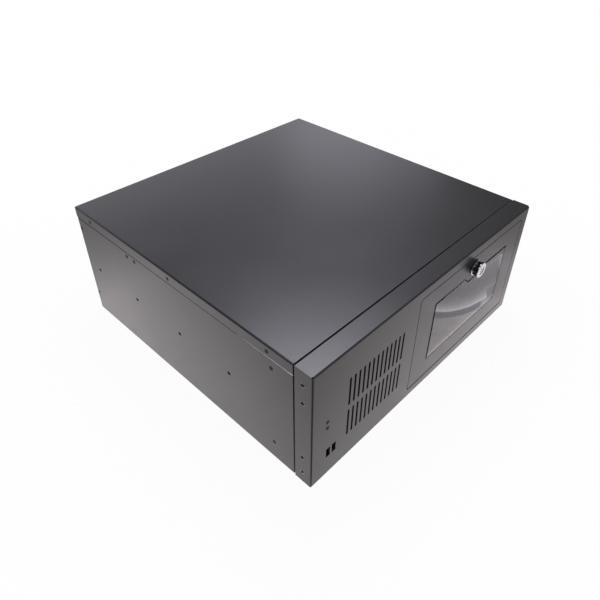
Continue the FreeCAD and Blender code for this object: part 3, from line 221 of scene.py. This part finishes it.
def smoked_pane():
    """Smoked acrylic window with faint hand marks."""
    pane, place = material("smoked_acrylic")
    marks = pane.noise(place, 30, 4.0)
    dust = pane.noise(place, 0.9, 1.0)
    waves = pane.noise(place, 34)
    return pane.surface({
        "Base Color": pane.between(marks, grey(0.20), grey(0.26)),
        "Roughness": 0.02 + 0.07 * marks * dust,
        "Normal": pane.bump(waves, 0.15, 0.5),
        "IOR": 1.58,
        "Transmission Weight": 1.0,
    })


def chrome():
    """Polished plate with hairline scratches."""
    plate, place = material("polished_chrome")
    hairs = plate.noise(plate.stretched(place, (1, 14, 1)), 0.9)
    cloud = plate.noise(place, 6)
    return plate.surface({
        "Base Color": plate.between(cloud, grey(0.86), grey(0.95)),
        "Roughness": 0.04 + 0.06 * hairs,
        "Metallic": 1.0,
        "Normal": plate.bump(hairs, 0.06, 0.02),
    })


def lock_plate():
    """Chrome with painted light: darker on the lock's sides as a painted dark reflection, brighter on the
    face and the collar's edge as painted highlights.
    """
    plate, place = material("lock_chrome")
    cloud = plate.noise(place, 4)
    hairs = plate.noise(plate.stretched(place, (1, 10, 1)), 0.8)
    face_start, collar_start, collar_end = 9.55, 2.2, 1.75
    y = plate.axes(place)[1]
    # Painted highlights: the collar's edge and the face are coloured bright; the sides are coloured dark.
    collar = (y > (FRONT - collar_start) * MM) * (y < (FRONT - collar_end) * MM)
    highlight_mask = collar + (y < (FRONT - face_start) * MM)
    dark_reflection_sides = plate.between(cloud, grey(0.20), grey(0.30))
    highlight_face = plate.between(cloud, grey(0.90), grey(0.97))
    return plate.surface({
        "Base Color": plate.between(highlight_mask, dark_reflection_sides, highlight_face),
        "Roughness": 0.06 + 0.06 * hairs + 0.10 * highlight_mask,
        "Metallic": 1.0,
        "Normal": plate.bump(hairs, 0.06, 0.02),
    })


def black_lacquer():
    """Thin black lacquer of the case screws, rubbed at the recess."""
    lacquer, place = material("black_lacquered_screw")
    rubbed = lacquer.noise(place, 0.8)
    return lacquer.surface({
        "Base Color": lacquer.between(rubbed, grey(0.006), grey(0.016)),
        "Roughness": 0.34 + 0.12 * rubbed,
        "IOR": 1.36,
        "Normal": lacquer.bump(rubbed, 0.12, 0.03),
    })


def plated_steel(name, dark, light, rough, grain):
    """Plated steel: drawn grain, dull patches."""
    steel, place = material(name)
    drawn = steel.noise(steel.stretched(place, (1, 1, 9)), grain)
    dull = steel.noise(place, 18, 3.0)
    return steel.surface({
        "Base Color": steel.between(0.5 * drawn + 0.5 * dull, grey(dark), grey(light)),
        "Roughness": rough + 0.12 * dull + 0.06 * drawn,
        "Metallic": 1.0,
        "Normal": steel.bump(drawn, 0.10, 0.03, steel.soft_edges(0.25)),
    })


def zinc_sheet():
    """Galvanised sheet with its spangle."""
    sheet, place = material("galvanised_sheet")
    crystals = sheet.cells(place, 5, "Color")
    spangle = sheet.node("ShaderNodeSeparateColor", {}, {"Color": crystals})
    frost = sheet.noise(place, 1.2, 3.0)
    return sheet.surface({
        "Base Color": sheet.between(0.35 * spangle + 0.65 * frost, grey(0.46), grey(0.56)),
        "Roughness": 0.32 + 0.07 * spangle + 0.08 * frost,
        "Metallic": 1.0,
        "Normal": sheet.bump(frost, 0.08, 0.04, sheet.soft_edges(0.3)),
    })


def moulded_plastic(name, dark, light, rough):
    """Spark-eroded moulded plastic."""
    plastic, place = material(name)
    spark = plastic.noise(place, 0.45)
    sink = plastic.noise(place, 25)
    return plastic.surface({
        "Base Color": plastic.between(0.5 * spark + 0.5 * sink, grey(dark), grey(light)),
        "Roughness": rough + 0.10 * spark,
        "Normal": plastic.bump(spark, 0.2, 0.04, plastic.soft_edges(0.3)),
    })


def open_foam():
    """Black open-cell filter foam."""
    foam, place = material("open_cell_foam")
    pores = foam.cells(place, 1.3)
    walls = foam.ramp(pores, [(0.1, 0.0), (0.5, 1.0)])
    return foam.surface({
        "Base Color": foam.between(walls, grey(0.002), grey(0.012)),
        "Roughness": 0.9 - 0.1 * pores,
        "Normal": foam.bump(pores, 0.9, 0.6),
    })


def lamp_lens():
    """Clear-tinted lens of an unlit lamp."""
    lens, place = material("unlit_lamp_lens")
    swirl = lens.noise(place, 0.9)
    return lens.surface({
        "Base Color": lens.between(swirl, (0.02, 0.024, 0.022, 1), (0.05, 0.06, 0.052, 1)),
        "Roughness": 0.10 + 0.08 * swirl,
        "IOR": 1.55,
    })


def circuit_board():
    """Green solder mask over copper tracks."""
    board, place = material("green_solder_mask")
    lands = board.cells(place, 4)
    tracks = board.noise(board.stretched(place, (1, 5, 1)), 3, 1.0)
    copper = board.ramp(tracks, [(0.50, 0.0), (0.53, 1.0)])
    return board.surface({
        "Base Color": board.between(copper, (0.006, 0.045, 0.020, 1), (0.012, 0.085, 0.035, 1)),
        "Roughness": 0.32 + 0.15 * lands,
        "Normal": board.bump(copper, 0.3, 0.04),
    })


def turned_brass():
    """Brass with the marks of the turning tool."""
    brass, place = material("turned_brass")
    tool = brass.noise(brass.stretched(place, (1, 1, 12)), 1.5)
    return brass.surface({
        "Base Color": brass.between(tool, (0.52, 0.36, 0.12, 1), (0.66, 0.48, 0.20, 1)),
        "Roughness": 0.26 + 0.14 * tool,
        "Metallic": 1.0,
    })


# Finishes of CAD nodes that pieces made here have too.
COAT = powder_coat()
STEEL = plated_steel("bright_zinc_steel", dark=0.50, light=0.66, rough=0.24, grain=1.2)
PLASTIC = moulded_plastic("black_moulded_plastic", dark=0.012, light=0.022, rough=0.42)
FOAM = open_foam()
LENS = lamp_lens()
BRASS = turned_brass()

# The record's material slots, each with its finish.
FINISHES = {
    "black_coat": COAT,
    "smoked_pane": smoked_pane(),
    "chrome": chrome(),
    "steel": STEEL,
    "zinc_sheet": zinc_sheet(),
    "black_plastic": PLASTIC,
    "button_cap": moulded_plastic("button_cap_plastic", dark=0.020, light=0.034, rough=0.36),
    "foam": FOAM,
    "lamp_lens": LENS,
    "board": circuit_board(),
    "drive_case": plated_steel("brushed_drive_case", dark=0.30, light=0.42, rough=0.34, grain=0.8),
    "chip_lid": plated_steel("nickel_chip_lid", dark=0.55, light=0.68, rough=0.22, grain=0.6),
    "brass": BRASS,
}

# Finishes that only some pieces have.
SHADED_SOCKET_SHELL = plated_steel("socket_shell_painted_shade", dark=0.10, light=0.18, rough=0.34, grain=0.6)
LOCK_CHROME = lock_plate()
LACQUER = black_lacquer()
BARE_EDGE = plated_steel("bare_rim_steel", dark=0.62, light=0.80, rough=0.22, grain=0.7)

# A slot's material may have a number after a dot, which is left off.
for node in NODES.values():
    for slot in node.material_slots:
        slot.material = FINISHES[slot.material.name.split(".")[0]]
# The front sockets' shells get a darkened plated steel: painted shade inside the sockets.
for name in ("usb_socket_left", "usb_socket_right"):
    for slot in NODES[name].material_slots:
        slot.material = SHADED_SOCKET_SHELL


# Modelling tools. Their measures are in millimetres, and the meshes are in metres.

def metres(place):
    return [value * MM for value in place]


def select_only(*pieces):
    """Selects these pieces and nothing else; operators then work on the first."""
    bpy.ops.object.select_all(action="DESELECT")
    for piece in pieces:
        piece.select_set(True)
    bpy.context.view_layer.objects.active = pieces[0] if pieces else None


def settled(name):
    """The piece that is worked on, named, with its place, turn and size put in its mesh."""
    bpy.ops.object.transform_apply(location=True, rotation=True, scale=True)
    piece = bpy.context.active_object
    piece.name = piece.data.name = name
    return piece


def turned(name, at, profile, segments):
    """A piece turned on an axis along Y, each ring drawn from the one before.

    The profile holds (reach, radius) pairs; reach runs rearwards from the point `at`. A profile
    that comes back to its first pair makes a ring, any other is closed at both ends."""
    select_only()
    x, y, z = at
    ring = profile[0] == profile[-1]
    reach, radius = profile[0]
    bpy.ops.mesh.primitive_circle_add(
        vertices=segments, radius=radius * MM, fill_type="NOTHING" if ring else "NGON",
        location=metres((x, y + reach, z)), rotation=(QUARTER_TURN, 0, 0))
    bpy.ops.object.mode_set(mode="EDIT")
    bpy.ops.mesh.select_mode(type="EDGE")
    bpy.ops.mesh.select_all(action="SELECT")
    for ahead, wide in profile[1:]:
        bpy.ops.mesh.extrude_edges_move(TRANSFORM_OT_translate={"value": metres((0, ahead - reach, 0))})
        bpy.ops.transform.resize(value=(wide / radius, 1, wide / radius),
                                 center_override=metres((x, y + ahead, z)))
        reach, radius = ahead, wide
    if not ring:
        bpy.ops.mesh.edge_face_add()
    bpy.ops.mesh.select_all(action="SELECT")
    bpy.ops.mesh.remove_doubles(threshold=0.002 * MM)
    bpy.ops.mesh.normals_make_consistent(inside=False)
    bpy.ops.object.mode_set(mode="OBJECT")
    return settled(name)


def bar(name, low, high):
    """A block between two corners, for further shaping."""
    select_only()
    middle = [(start + end) / 2 for start, end in zip(low, high)]
    size = [end - start for start, end in zip(low, high)]
    bpy.ops.mesh.primitive_cube_add(size=1.0, location=metres(middle), scale=metres(size))
    return settled(name)


def smoothed(piece, degrees):
    """Shades a piece smooth across the edges that turn by less than this."""
    select_only(piece)
    bpy.ops.object.shade_smooth_by_angle(angle=math.radians(degrees))
    return piece


def eased(piece, width, segments=2, degrees=35):
    """Breaks the edges of a piece that turn by more than this, and smooths its curved faces."""
    select_only(piece)
    bevel = piece.modifiers.new("eased", "BEVEL")
    bevel.width, bevel.segments = width * MM, segments
    bevel.limit_method, bevel.angle_limit = "ANGLE", math.radians(degrees)
    bpy.ops.object.modifier_apply(modifier=bevel.name)
    return smoothed(piece, 40)


def cut(piece, cutter):
    """Takes the cutter's shape out of the piece."""
    select_only(piece)
    hollow = piece.modifiers.new("hollow", "BOOLEAN")
    hollow.operation, hollow.solver, hollow.object = "DIFFERENCE", "EXACT", cutter
    bpy.ops.object.modifier_apply(modifier=hollow.name)
    bpy.data.objects.remove(cutter)


def nudge(piece, chosen, way):
    """Moves the chosen corners of a piece."""
    select_only(piece)
    bpy.ops.object.mode_set(mode="EDIT")
    bpy.ops.mesh.select_all(action="DESELECT")
    bpy.ops.object.mode_set(mode="OBJECT")
    for corner in piece.data.vertices:
        corner.select = chosen(corner.co / MM)
    bpy.ops.object.mode_set(mode="EDIT")
    bpy.ops.transform.translate(value=metres(way))
    bpy.ops.object.mode_set(mode="OBJECT")


def placed(master, at, turn):
    """A copy of a piece that faces the front, turned about the upright axis and set in place."""
    select_only(master)
    bpy.ops.object.duplicate(linked=False)
    copy = bpy.context.active_object
    copy.rotation_euler = (0, 0, turn)
    copy.location = metres(at)
    return settled(master.name)


def on_both_sides(master, spots):
    """Copies of a piece on the left and right sides, at distances behind the front and heights."""
    return [placed(master, (side * SIDE_FACE, FRONT + y, z), turn) for side, turn in SIDES for y, z in spots]


def joined(name, parts):
    """One piece from several."""
    select_only(*parts)
    bpy.ops.object.join()
    return settled(name)


def finished(piece, finish, body, slot, *nodes):
    """Gives a piece its finish and its body, and hides the nodes that it stands for."""
    piece.data.materials.clear()
    piece.data.materials.append(finish)
    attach(piece, body)
    if nodes:
        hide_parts(*nodes)


# Pieces.

def lock():
    """Chrome cam lock: flat-faced head, plain neck, collar, threaded barrel."""
    face, end, bore = -10.0, 12.0, 5.85
    thread_start, thread_pitch, thread_turns = 0.5, 0.8, 14
    thread_root, thread_crest = 7.5, 7.9
    profile = [(face, bore), (face, 9.9), (-9.7, 10.2), (-7.3, 10.2), (-7.1, 9.2), (-2.3, 9.2), (-2.1, 10.1),
               (-1.8, 10.4), (0.0, 10.4), (0.0, 7.6)]
    for turn in range(thread_turns):
        reach = thread_start + turn * thread_pitch
        profile += [(reach, thread_root), (reach + thread_pitch / 2, thread_crest)]
    profile += [(end, 7.4), (end, bore), (face, bore)]
    barrel = turned("lock_barrel", (LOCK_X, FRONT, LOCK_Z), profile, segments=64)
    finished(eased(barrel, 0.12, degrees=40), LOCK_CHROME, "door", "chrome", "lock_body")


def lamps():
    """Round-nosed lenses of the two lamps, each in a ring-shaped clip."""
    nose = [(-0.50, 0.25), (-0.44, 0.75), (-0.26, 1.18), (0.05, 1.44), (0.45, 1.5), (6.0, 1.5)]
    ring = [(-0.01, 1.53), (-0.30, 1.60), (-0.42, 1.85), (-0.42, 2.10), (-0.28, 2.34), (-0.01, 2.40),
            (-0.01, 1.53)]
    for name, z in (("upper", 91.45), ("lower", 82.15)):
        at = (LAMP_X, FRONT, z)
        lens = turned(f"lamp_lens_{name}", at, nose, segments=32)
        finished(eased(lens, 0.05, degrees=50), LENS, "chassis", "lamp_lens", f"led_{name}")
        clip = turned(f"lamp_clip_{name}", at, ring, segments=32)
        finished(smoothed(clip, 40), PLASTIC, "chassis", "black_plastic")


def screw(head, proud, recess):
    """A screw head at the origin that faces the front, with its cross recess."""
    rooted, clear = 0.6, 1.0
    crown = [(-proud, 0.15 * head), (-proud, 0.72 * head), (-0.72 * proud, 0.93 * head), (-0.2 * proud, head),
             (rooted, head)]
    made = turned("screw", (0, 0, 0), crown, segments=28)
    arm, slit = 0.52 * head, 0.13 * head
    for wide, tall in ((arm, slit), (slit, arm)):
        cut(made, bar("recess", (-wide, -proud - clear, -tall), (wide, -proud + recess, tall)))
    return smoothed(made, 30)


def case_screws():
    """Flush black screws of the cover and walls."""
    cover = [(y, 167.2) for y in (62.8, 228.6, 401.0)]
    walls = [(57, 28.5), (57, 147.5), (300.9, 154), (317.1, 154), (432.5, 32), (432.5, 144)]
    master = screw(head=2.7, proud=0.3, recess=0.27)
    for name, spots in (("cover_screws", cover), ("wall_screws", walls)):
        finished(joined(name, on_both_sides(master, spots)), LACQUER, "chassis", "steel")
    bpy.data.objects.remove(master)


def socket_contacts():
    """Four sprung contacts on each front socket's tongue."""
    near, far = -214.8, -207.2
    outer, inner, half_width = 0.66, 0.48, 0.5
    for name, x in (("left", -188.7), ("right", -179.3)):
        strips = []
        for rise in (-3.5, -1.0, 1.0, 3.5):
            z = SOCKET_Z + rise
            strip = bar("contact", (x - outer, near, z - half_width), (x - inner, far, z + half_width))
            strips.append(eased(strip, 0.08))
        finished(joined(f"socket_contacts_{name}", strips), BRASS, "chassis", "brass")


def hole_rims():
    """Rims of the threaded inserts: black in the rail holes, bare in the ear holes."""
    rail_start, rail_pitch, rail_z = 128.9, 92.8, 86.0
    ear_start, ear_middle, pair_rise, hole_rise = 13.4, 86.4, 56.8, 13.0
    rails = [(rail_start + rail_pitch * step, rail_z) for step in range(4)]
    ears = [(ear_start, ear_middle + pair_rise * pair + hole_rise * hole)
            for pair in (-1, 1) for hole in (-1, 1)]
    kinds = (("rail_insert_rims", 2.1, rails, LACQUER), ("ear_insert_rims", 2.2, ears, BARE_EDGE))
    for name, hole, spots, metal in kinds:
        ring = [(0.02, hole + 0.46), (0.46, hole + 0.02), (1.0, hole - 0.01), (1.0, hole - 0.07),
                (0.42, hole - 0.05), (0.02, hole + 0.38), (0.02, hole + 0.46)]
        master = smoothed(turned("rim", (0, 0, 0), ring, segments=32), 30)
        finished(joined(name, on_both_sides(master, spots)), metal, "chassis", "steel")
        bpy.data.objects.remove(master)


def slit_strips(proud, start, end, low, high):
    """A strip in the slit under each of the cover's flanges, its upper outer edge sloped off."""
    depth, slope = 0.9, 0.5
    ledge_strips = []
    for side, _ in SIDES:
        inner, outer = side * (SIDE_FACE - depth), side * (SIDE_FACE + proud)
        ledge_strip = bar("ledge_strip", (min(inner, outer), start, low), (max(inner, outer), end, high))
        nudge(ledge_strip, lambda at: at.x * side > SIDE_FACE - depth / 2 and at.z > (low + high) / 2, (0, 0, -slope))
        ledge_strips.append(ledge_strip)
    return ledge_strips


def wall_highlight_strips():
    """Bright bare-steel strips along the front ends of the walls' upper edges, lowered in their rear halves:
    a painted highlight in the slit.
    """
    length, taper = 100, 0.34
    ledge_strips = slit_strips(proud=-0.02, start=CASE_START, end=CASE_START + length, low=SLIT_Z, high=SLIT_Z + 0.86)
    for ledge_strip in ledge_strips:
        nudge(ledge_strip, lambda at: at.y > CASE_START + length / 2 and at.z > SLIT_Z + 0.2, (0, 0, -taper))
    finished(joined("wall_highlight_strips", ledge_strips), BARE_EDGE, "chassis", "steel")


def seam_shade_strips():
    """Matt black strips in the slits under the cover's flanges, behind the walls' bright front strips:
    painted shade that darkens the slits.
    """
    front_in, rubbed_length, rear_gap = 0.4, 62, 0.4
    ledge_strips = slit_strips(proud=0.28, start=CASE_START + rubbed_length, end=REAR_FACE - rear_gap,
                     low=SLIT_Z + 0.05, high=SLIT_Z + 0.62)
    for ledge_strip, (side, _) in zip(ledge_strips, SIDES):
        nudge(ledge_strip, lambda at: at.x * side > SIDE_FACE and at.y < 0, (-side * front_in, 0, 0))
        eased(ledge_strip, 0.02, segments=1)
    finished(joined("seam_shade_strips", ledge_strips), FOAM, "chassis", "black_coat")


def cover_lip():
    """The cover's front lip, seen in the seam: deep at the left, nearly flush at the right."""
    near, far = CASE_START - 2.05, CASE_START - 0.05
    half_width, low, high, right_rise = 213.6, 172.6, 173.5, 2.2
    lip = bar("cover_lip", (-half_width, near, low), (half_width, far, high))
    nudge(lip, lambda at: at.x > 0 and at.z > (low + high) / 2, (0, 0, right_rise))
    finished(eased(lip, 0.25, segments=3), COAT, "chassis", "black_coat")


def pane_edge_shade():
    """Matt black strips that fill the gap at the window's right and lower edges and beside its dip: painted
    shade along those edges.
    """
    near, far = FRONT - 0.12, FRONT + 1.3
    low, right = 43.9, 166.0
    dip_left, dip_right, dip_fall = 61.2, 71.0, 8.2
    upright = bar("strip", (163.45, near, low), (right, far, 136.6))
    level = bar("strip", (-4.6, near, low), (right, far, 45.85))
    slant = bar("strip", (dip_left, near, 134.2), (dip_right, far, 136.5))
    nudge(slant, lambda at: at.x > (dip_left + dip_right) / 2, (0, 0, -dip_fall))
    soft = [eased(strip, 0.1) for strip in (upright, level, slant)]
    finished(joined("pane_edge_shade", soft), FOAM, "door", "foam")


def door_stop():
    """Coated strip of the front pan along the door's right edge, with a running gap."""
    left, right, low, high = 199.15, 199.82, 20.0, 157.0
    stop = bar("door_stop", (left, FRONT + 0.02, low), (right, FRONT + 1.2, high))
    finished(eased(stop, 0.08), COAT, "chassis", "black_coat")


def rear_screws():
    """Plated pan-head screws of the power supply."""
    master = screw(head=2.9, proud=1.2, recess=0.9)
    copies = [placed(master, (x, REAR_FACE, z), math.pi) for x in (116.1, 195.9) for z in (8.0, 148.0)]
    finished(joined("supply_screws", copies), STEEL, "chassis", "steel")
    bpy.data.objects.remove(master)


def inlet_pins():
    """Plated sleeves of the mains inlet's three flat pins."""
    half_width, half_height = 1.15, 2.15
    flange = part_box("psu_inlet")[1].y / MM
    near, far = flange - 15.6, flange - 5.4
    sleeves = []
    for x, z in ((163.0, 34.0), (170.0, 40.0), (177.0, 34.0)):
        sleeve = bar("pin", (x - half_width, near, z - half_height), (x + half_width, far, z + half_height))
        sleeves.append(eased(sleeve, 0.25))
    finished(joined("inlet_pins", sleeves), STEEL, "chassis", "steel")


lock()
lamps()
case_screws()
socket_contacts()
hole_rims()
wall_highlight_strips()
seam_shade_strips()
cover_lip()
pane_edge_shade()
door_stop()
rear_screws()
inlet_pins()


# Stage, in metres.

def stage_plane(name, centre, size, turn, finish):
    """A flat card that isn't part of the object."""
    select_only()
    bpy.ops.mesh.primitive_plane_add(size=1.0, location=centre, rotation=turn)
    bpy.context.active_object.scale = (*size, 1)
    plane = settled(name)
    plane.data.materials.append(finish)
    return plane


def background_rays(finish):
    """1 for the rays that show the background: seen straight, mirrored or through a pane."""
    straight, mirrored, through = (finish.node("ShaderNodeLightPath", out=f"Is {kind} Ray")
                                   for kind in ("Camera", "Glossy", "Transmission"))
    return (straight + mirrored + through).clip()


def white_floor():
    """White to the eye; in reflections it shows a painted pool of light that fades away from the case."""
    floor, place = material("white_floor")
    half_width, half_depth, far = 0.215, 0.2185, 10.0
    x, y, _ = floor.axes(place)
    beyond_x = (abs(x) - half_width).clip(0.0, far)
    beyond_y = (abs(y) - half_depth).clip(0.0, far)
    away_squared = beyond_x * beyond_x + beyond_y * beyond_y

    def fading(level, pace):
        return level / (1.0 + pace * away_squared)

    # Painted light in reflections: brighter beyond the left side, a painted dark patch before its front
    # corner, and brighter towards the right rear.
    left = ((-0.2 - x) * 3.0).clip(0.0, 0.3) * (0.70 + 1.6 * y).clip(0.2, 1.0)
    corner = (x < -0.2155) * (y < -0.219)
    slope = 0.83 + 1.42 * (x + y + half_width + half_depth)
    lift = fading((slope - 1.0).clip(0.0, 0.4), 260.0)
    mottle = 0.86 + 0.28 * floor.noise(place, 26, 4.0)
    pool = 0.30 + fading(0.62, 55.0) + fading(left, 30.0)
    pool = pool * (slope.clip(0.74, 1.0) + lift) * mottle * (1.0 - 0.95 * corner)
    seen = floor.node("ShaderNodeLightPath", out="Is Camera Ray")
    tint = floor.between(seen, (1.03, 0.97, 0.985, 1.0), grey(1.0))
    glow = floor.node("ShaderNodeEmission", {}, {"Color": floor.scaled(tint, seen + (1.0 - seen) * pool)})
    matt = floor.node("ShaderNodeBsdfDiffuse", {}, {"Color": grey(0.85)})
    shown = background_rays(floor) * (1.0 - fading(0.05, 20.0))
    surface = floor.node("ShaderNodeMixShader", {}, {"Fac": shown, 1: matt, 2: glow})
    floor.node("ShaderNodeOutputMaterial", {}, {"Surface": surface})
    return floor.holder


def room_grey(name, level, cool=0.0, rose=0.0):
    """A plain light grey that glows by itself."""
    wall = Finish(bpy.data.materials.new(name))
    glow = wall.node("ShaderNodeEmission", {}, {"Color": grey(level, cool, rose), "Strength": 1.0})
    wall.node("ShaderNodeOutputMaterial", {}, {"Surface": glow})
    return wall.holder


def reflected_only(card):
    """Hides a card from all but reflections."""
    card.visible_camera = card.visible_diffuse = card.visible_shadow = False
    card.visible_transmission = False


FLOOR_GAP = 0.0004
stage_plane("floor", (0, 0, -FLOOR_GAP), (8, 8), (0, 0, 0), white_floor())

DARK = room_grey("dark_wall", 0.10)
for card in (
    ("studio_ceiling", (0, 0, 1.9), (6, 6), (math.pi, 0, 0), room_grey("ceiling_grey", 0.16, 0.16)),
    ("studio_right", (1.9, -1.05, 0.95), (1.9, 3.8), (0, -QUARTER_TURN, 0), DARK),
    ("studio_left", (-1.9, 0, 0.95), (1.9, 5.0), (0, QUARTER_TURN, 0), DARK),
    ("studio_front", (0, -2.4, 0.95), (4.0, 1.9), (QUARTER_TURN, 0, 0), DARK),
    ("studio_back", (2.235, 1.85, 1.48), (0.66, 0.42), (QUARTER_TURN, 0, -QUARTER_TURN / 2),
     room_grey("pale_wall", 1.68, 0.12)),
):
    reflected_only(stage_plane(*card))

# Strips on the floor before the case, which only the pane mirrors: a dark one and paler ones in front.
DARK_EDGE = [(0.107, -0.287), (0.116, -0.277), (0.125, -0.268), (0.135, -0.260), (0.147, -0.253),
             (0.162, -0.247), (0.178, -0.243), (0.187, -0.2415), (0.202, -0.2395)]
LIGHT_EDGE = DARK_EDGE + [(0.222, -0.2375), (0.237, -0.2365)]
RIGHT_END = LIGHT_EDGE[-3:]
DARK_WIDTH, LIGHT_WIDTH, SIDE_WIDTH = (0.0125, -0.0065), (0.0058, -0.0032), (0.05, 0.004)
BRIGHT_STEPS, LIGHT_STEPS = 3, 14
PALE_TINT = (0.07, 0.05)


def floor_band(name, points, width, finish):
    """A strip whose one edge runs through the points."""
    select_only()
    bpy.ops.mesh.primitive_plane_add(size=1.0, location=(*points[0], FLOOR_GAP))
    bpy.ops.object.mode_set(mode="EDIT")
    bpy.ops.mesh.select_mode(type="VERT")
    bpy.ops.mesh.select_all(action="SELECT")
    bpy.ops.mesh.merge(type="CENTER")
    for here, there in zip(points, points[1:]):
        move = (there[0] - here[0], there[1] - here[1], 0)
        bpy.ops.mesh.extrude_vertices_move(TRANSFORM_OT_translate={"value": move})
    bpy.ops.mesh.select_all(action="SELECT")
    bpy.ops.mesh.extrude_edges_move(TRANSFORM_OT_translate={"value": (*width, 0)})
    bpy.ops.object.mode_set(mode="OBJECT")
    band = settled(name)
    band.data.materials.append(finish)
    reflected_only(band)


def stepped(point, step):
    """The place some light strips in front of a point on the dark strip's edge."""
    return [place + dark + step * light for place, dark, light in zip(point, DARK_WIDTH, LIGHT_WIDTH)]


def light_strip(name, edge, step, count, level):
    """A pale strip, as wide as a count of steps."""
    floor_band(f"band_light_{name}", [stepped(point, step) for point in edge],
               [count * light for light in LIGHT_WIDTH], room_grey(f"band_white_{name}", level, *PALE_TINT))


floor_band("band_dark", DARK_EDGE[:-1], DARK_WIDTH, room_grey("band_grey", 0.60, 0.09, 0.03))
for step in range(LIGHT_STEPS):
    level = 0.55 + 0.98 * math.exp(-step / 2.3) + 0.42 * (step / LIGHT_STEPS) ** 3
    light_strip(step, DARK_EDGE if step < BRIGHT_STEPS else LIGHT_EDGE, step, 1, level)
light_strip("end", RIGHT_END, 0, BRIGHT_STEPS, 0.70)
floor_band("band_corner", RIGHT_END, DARK_WIDTH, room_grey("band_corner_white", 0.92, *PALE_TINT))
floor_band("band_side", [stepped(RIGHT_END[-1], step) for step in (BRIGHT_STEPS, LIGHT_STEPS)], SIDE_WIDTH,
           room_grey("band_side_white", 1.05, *PALE_TINT))


def studio_world():
    """A plain white room, dimmer as a light than as a background."""
    world = bpy.data.worlds.new("studio")
    bpy.context.scene.world = world
    room = Finish(world)
    seen = room.node("ShaderNodeLightPath", out="Is Camera Ray")
    sky = room.scaled(room.between(seen, grey(1.0, 0.10), grey(1.0)), 0.55 + 0.45 * background_rays(room))
    around = room.node("ShaderNodeBackground", {}, {"Color": sky})
    room.node("ShaderNodeOutputWorld", {}, {"Surface": around})


def softbox(name, place, aim, size, power):
    """A soft light that is aimed at a point."""
    lamp = bpy.data.lights.new(name, "AREA")
    lamp.shape, lamp.energy = "RECTANGLE", power
    lamp.size, lamp.size_y = size
    lamp.color = grey(1.0, 0.12)[:3]
    holder = bpy.data.objects.new(name, lamp)
    bpy.context.scene.collection.objects.link(holder)
    holder.location = place
    holder.rotation_euler = (Vector(aim) - Vector(place)).to_track_quat("-Z", "Y").to_euler()


studio_world()
softbox("overhead_softbox", (0.46, 0.39, 1.62), (-0.15, -0.15, 0.17), (0.60, 0.85), 7.4)
softbox("left_softbox", (-1.2, 0.3, 1.5), (0, 0, 0.1), (0.8, 0.6), 5)

# Camera, in metres.
EYE = Vector((-0.4735, -0.4542, 0.5654))
AHEAD = Vector((0.5825, 0.5474, -0.6009)).normalized()
UP = Vector((0.4307, 0.4191, 0.7993))

lens = bpy.data.cameras.new("camera")
lens.sensor_width, lens.lens = 36.0, 33.82
lens.shift_x, lens.shift_y = -0.01396, -0.0531
lens.clip_start, lens.clip_end = 0.01, 50.0
camera = bpy.data.objects.new("camera", lens)
bpy.context.scene.collection.objects.link(camera)
across = AHEAD.cross(UP).normalized()
turn = Matrix((across, across.cross(AHEAD), -AHEAD)).transposed()
camera.matrix_world = Matrix.Translation(EYE) @ turn.to_4x4()
bpy.context.scene.camera = camera
bpy.context.scene.view_settings.view_transform = "Standard"
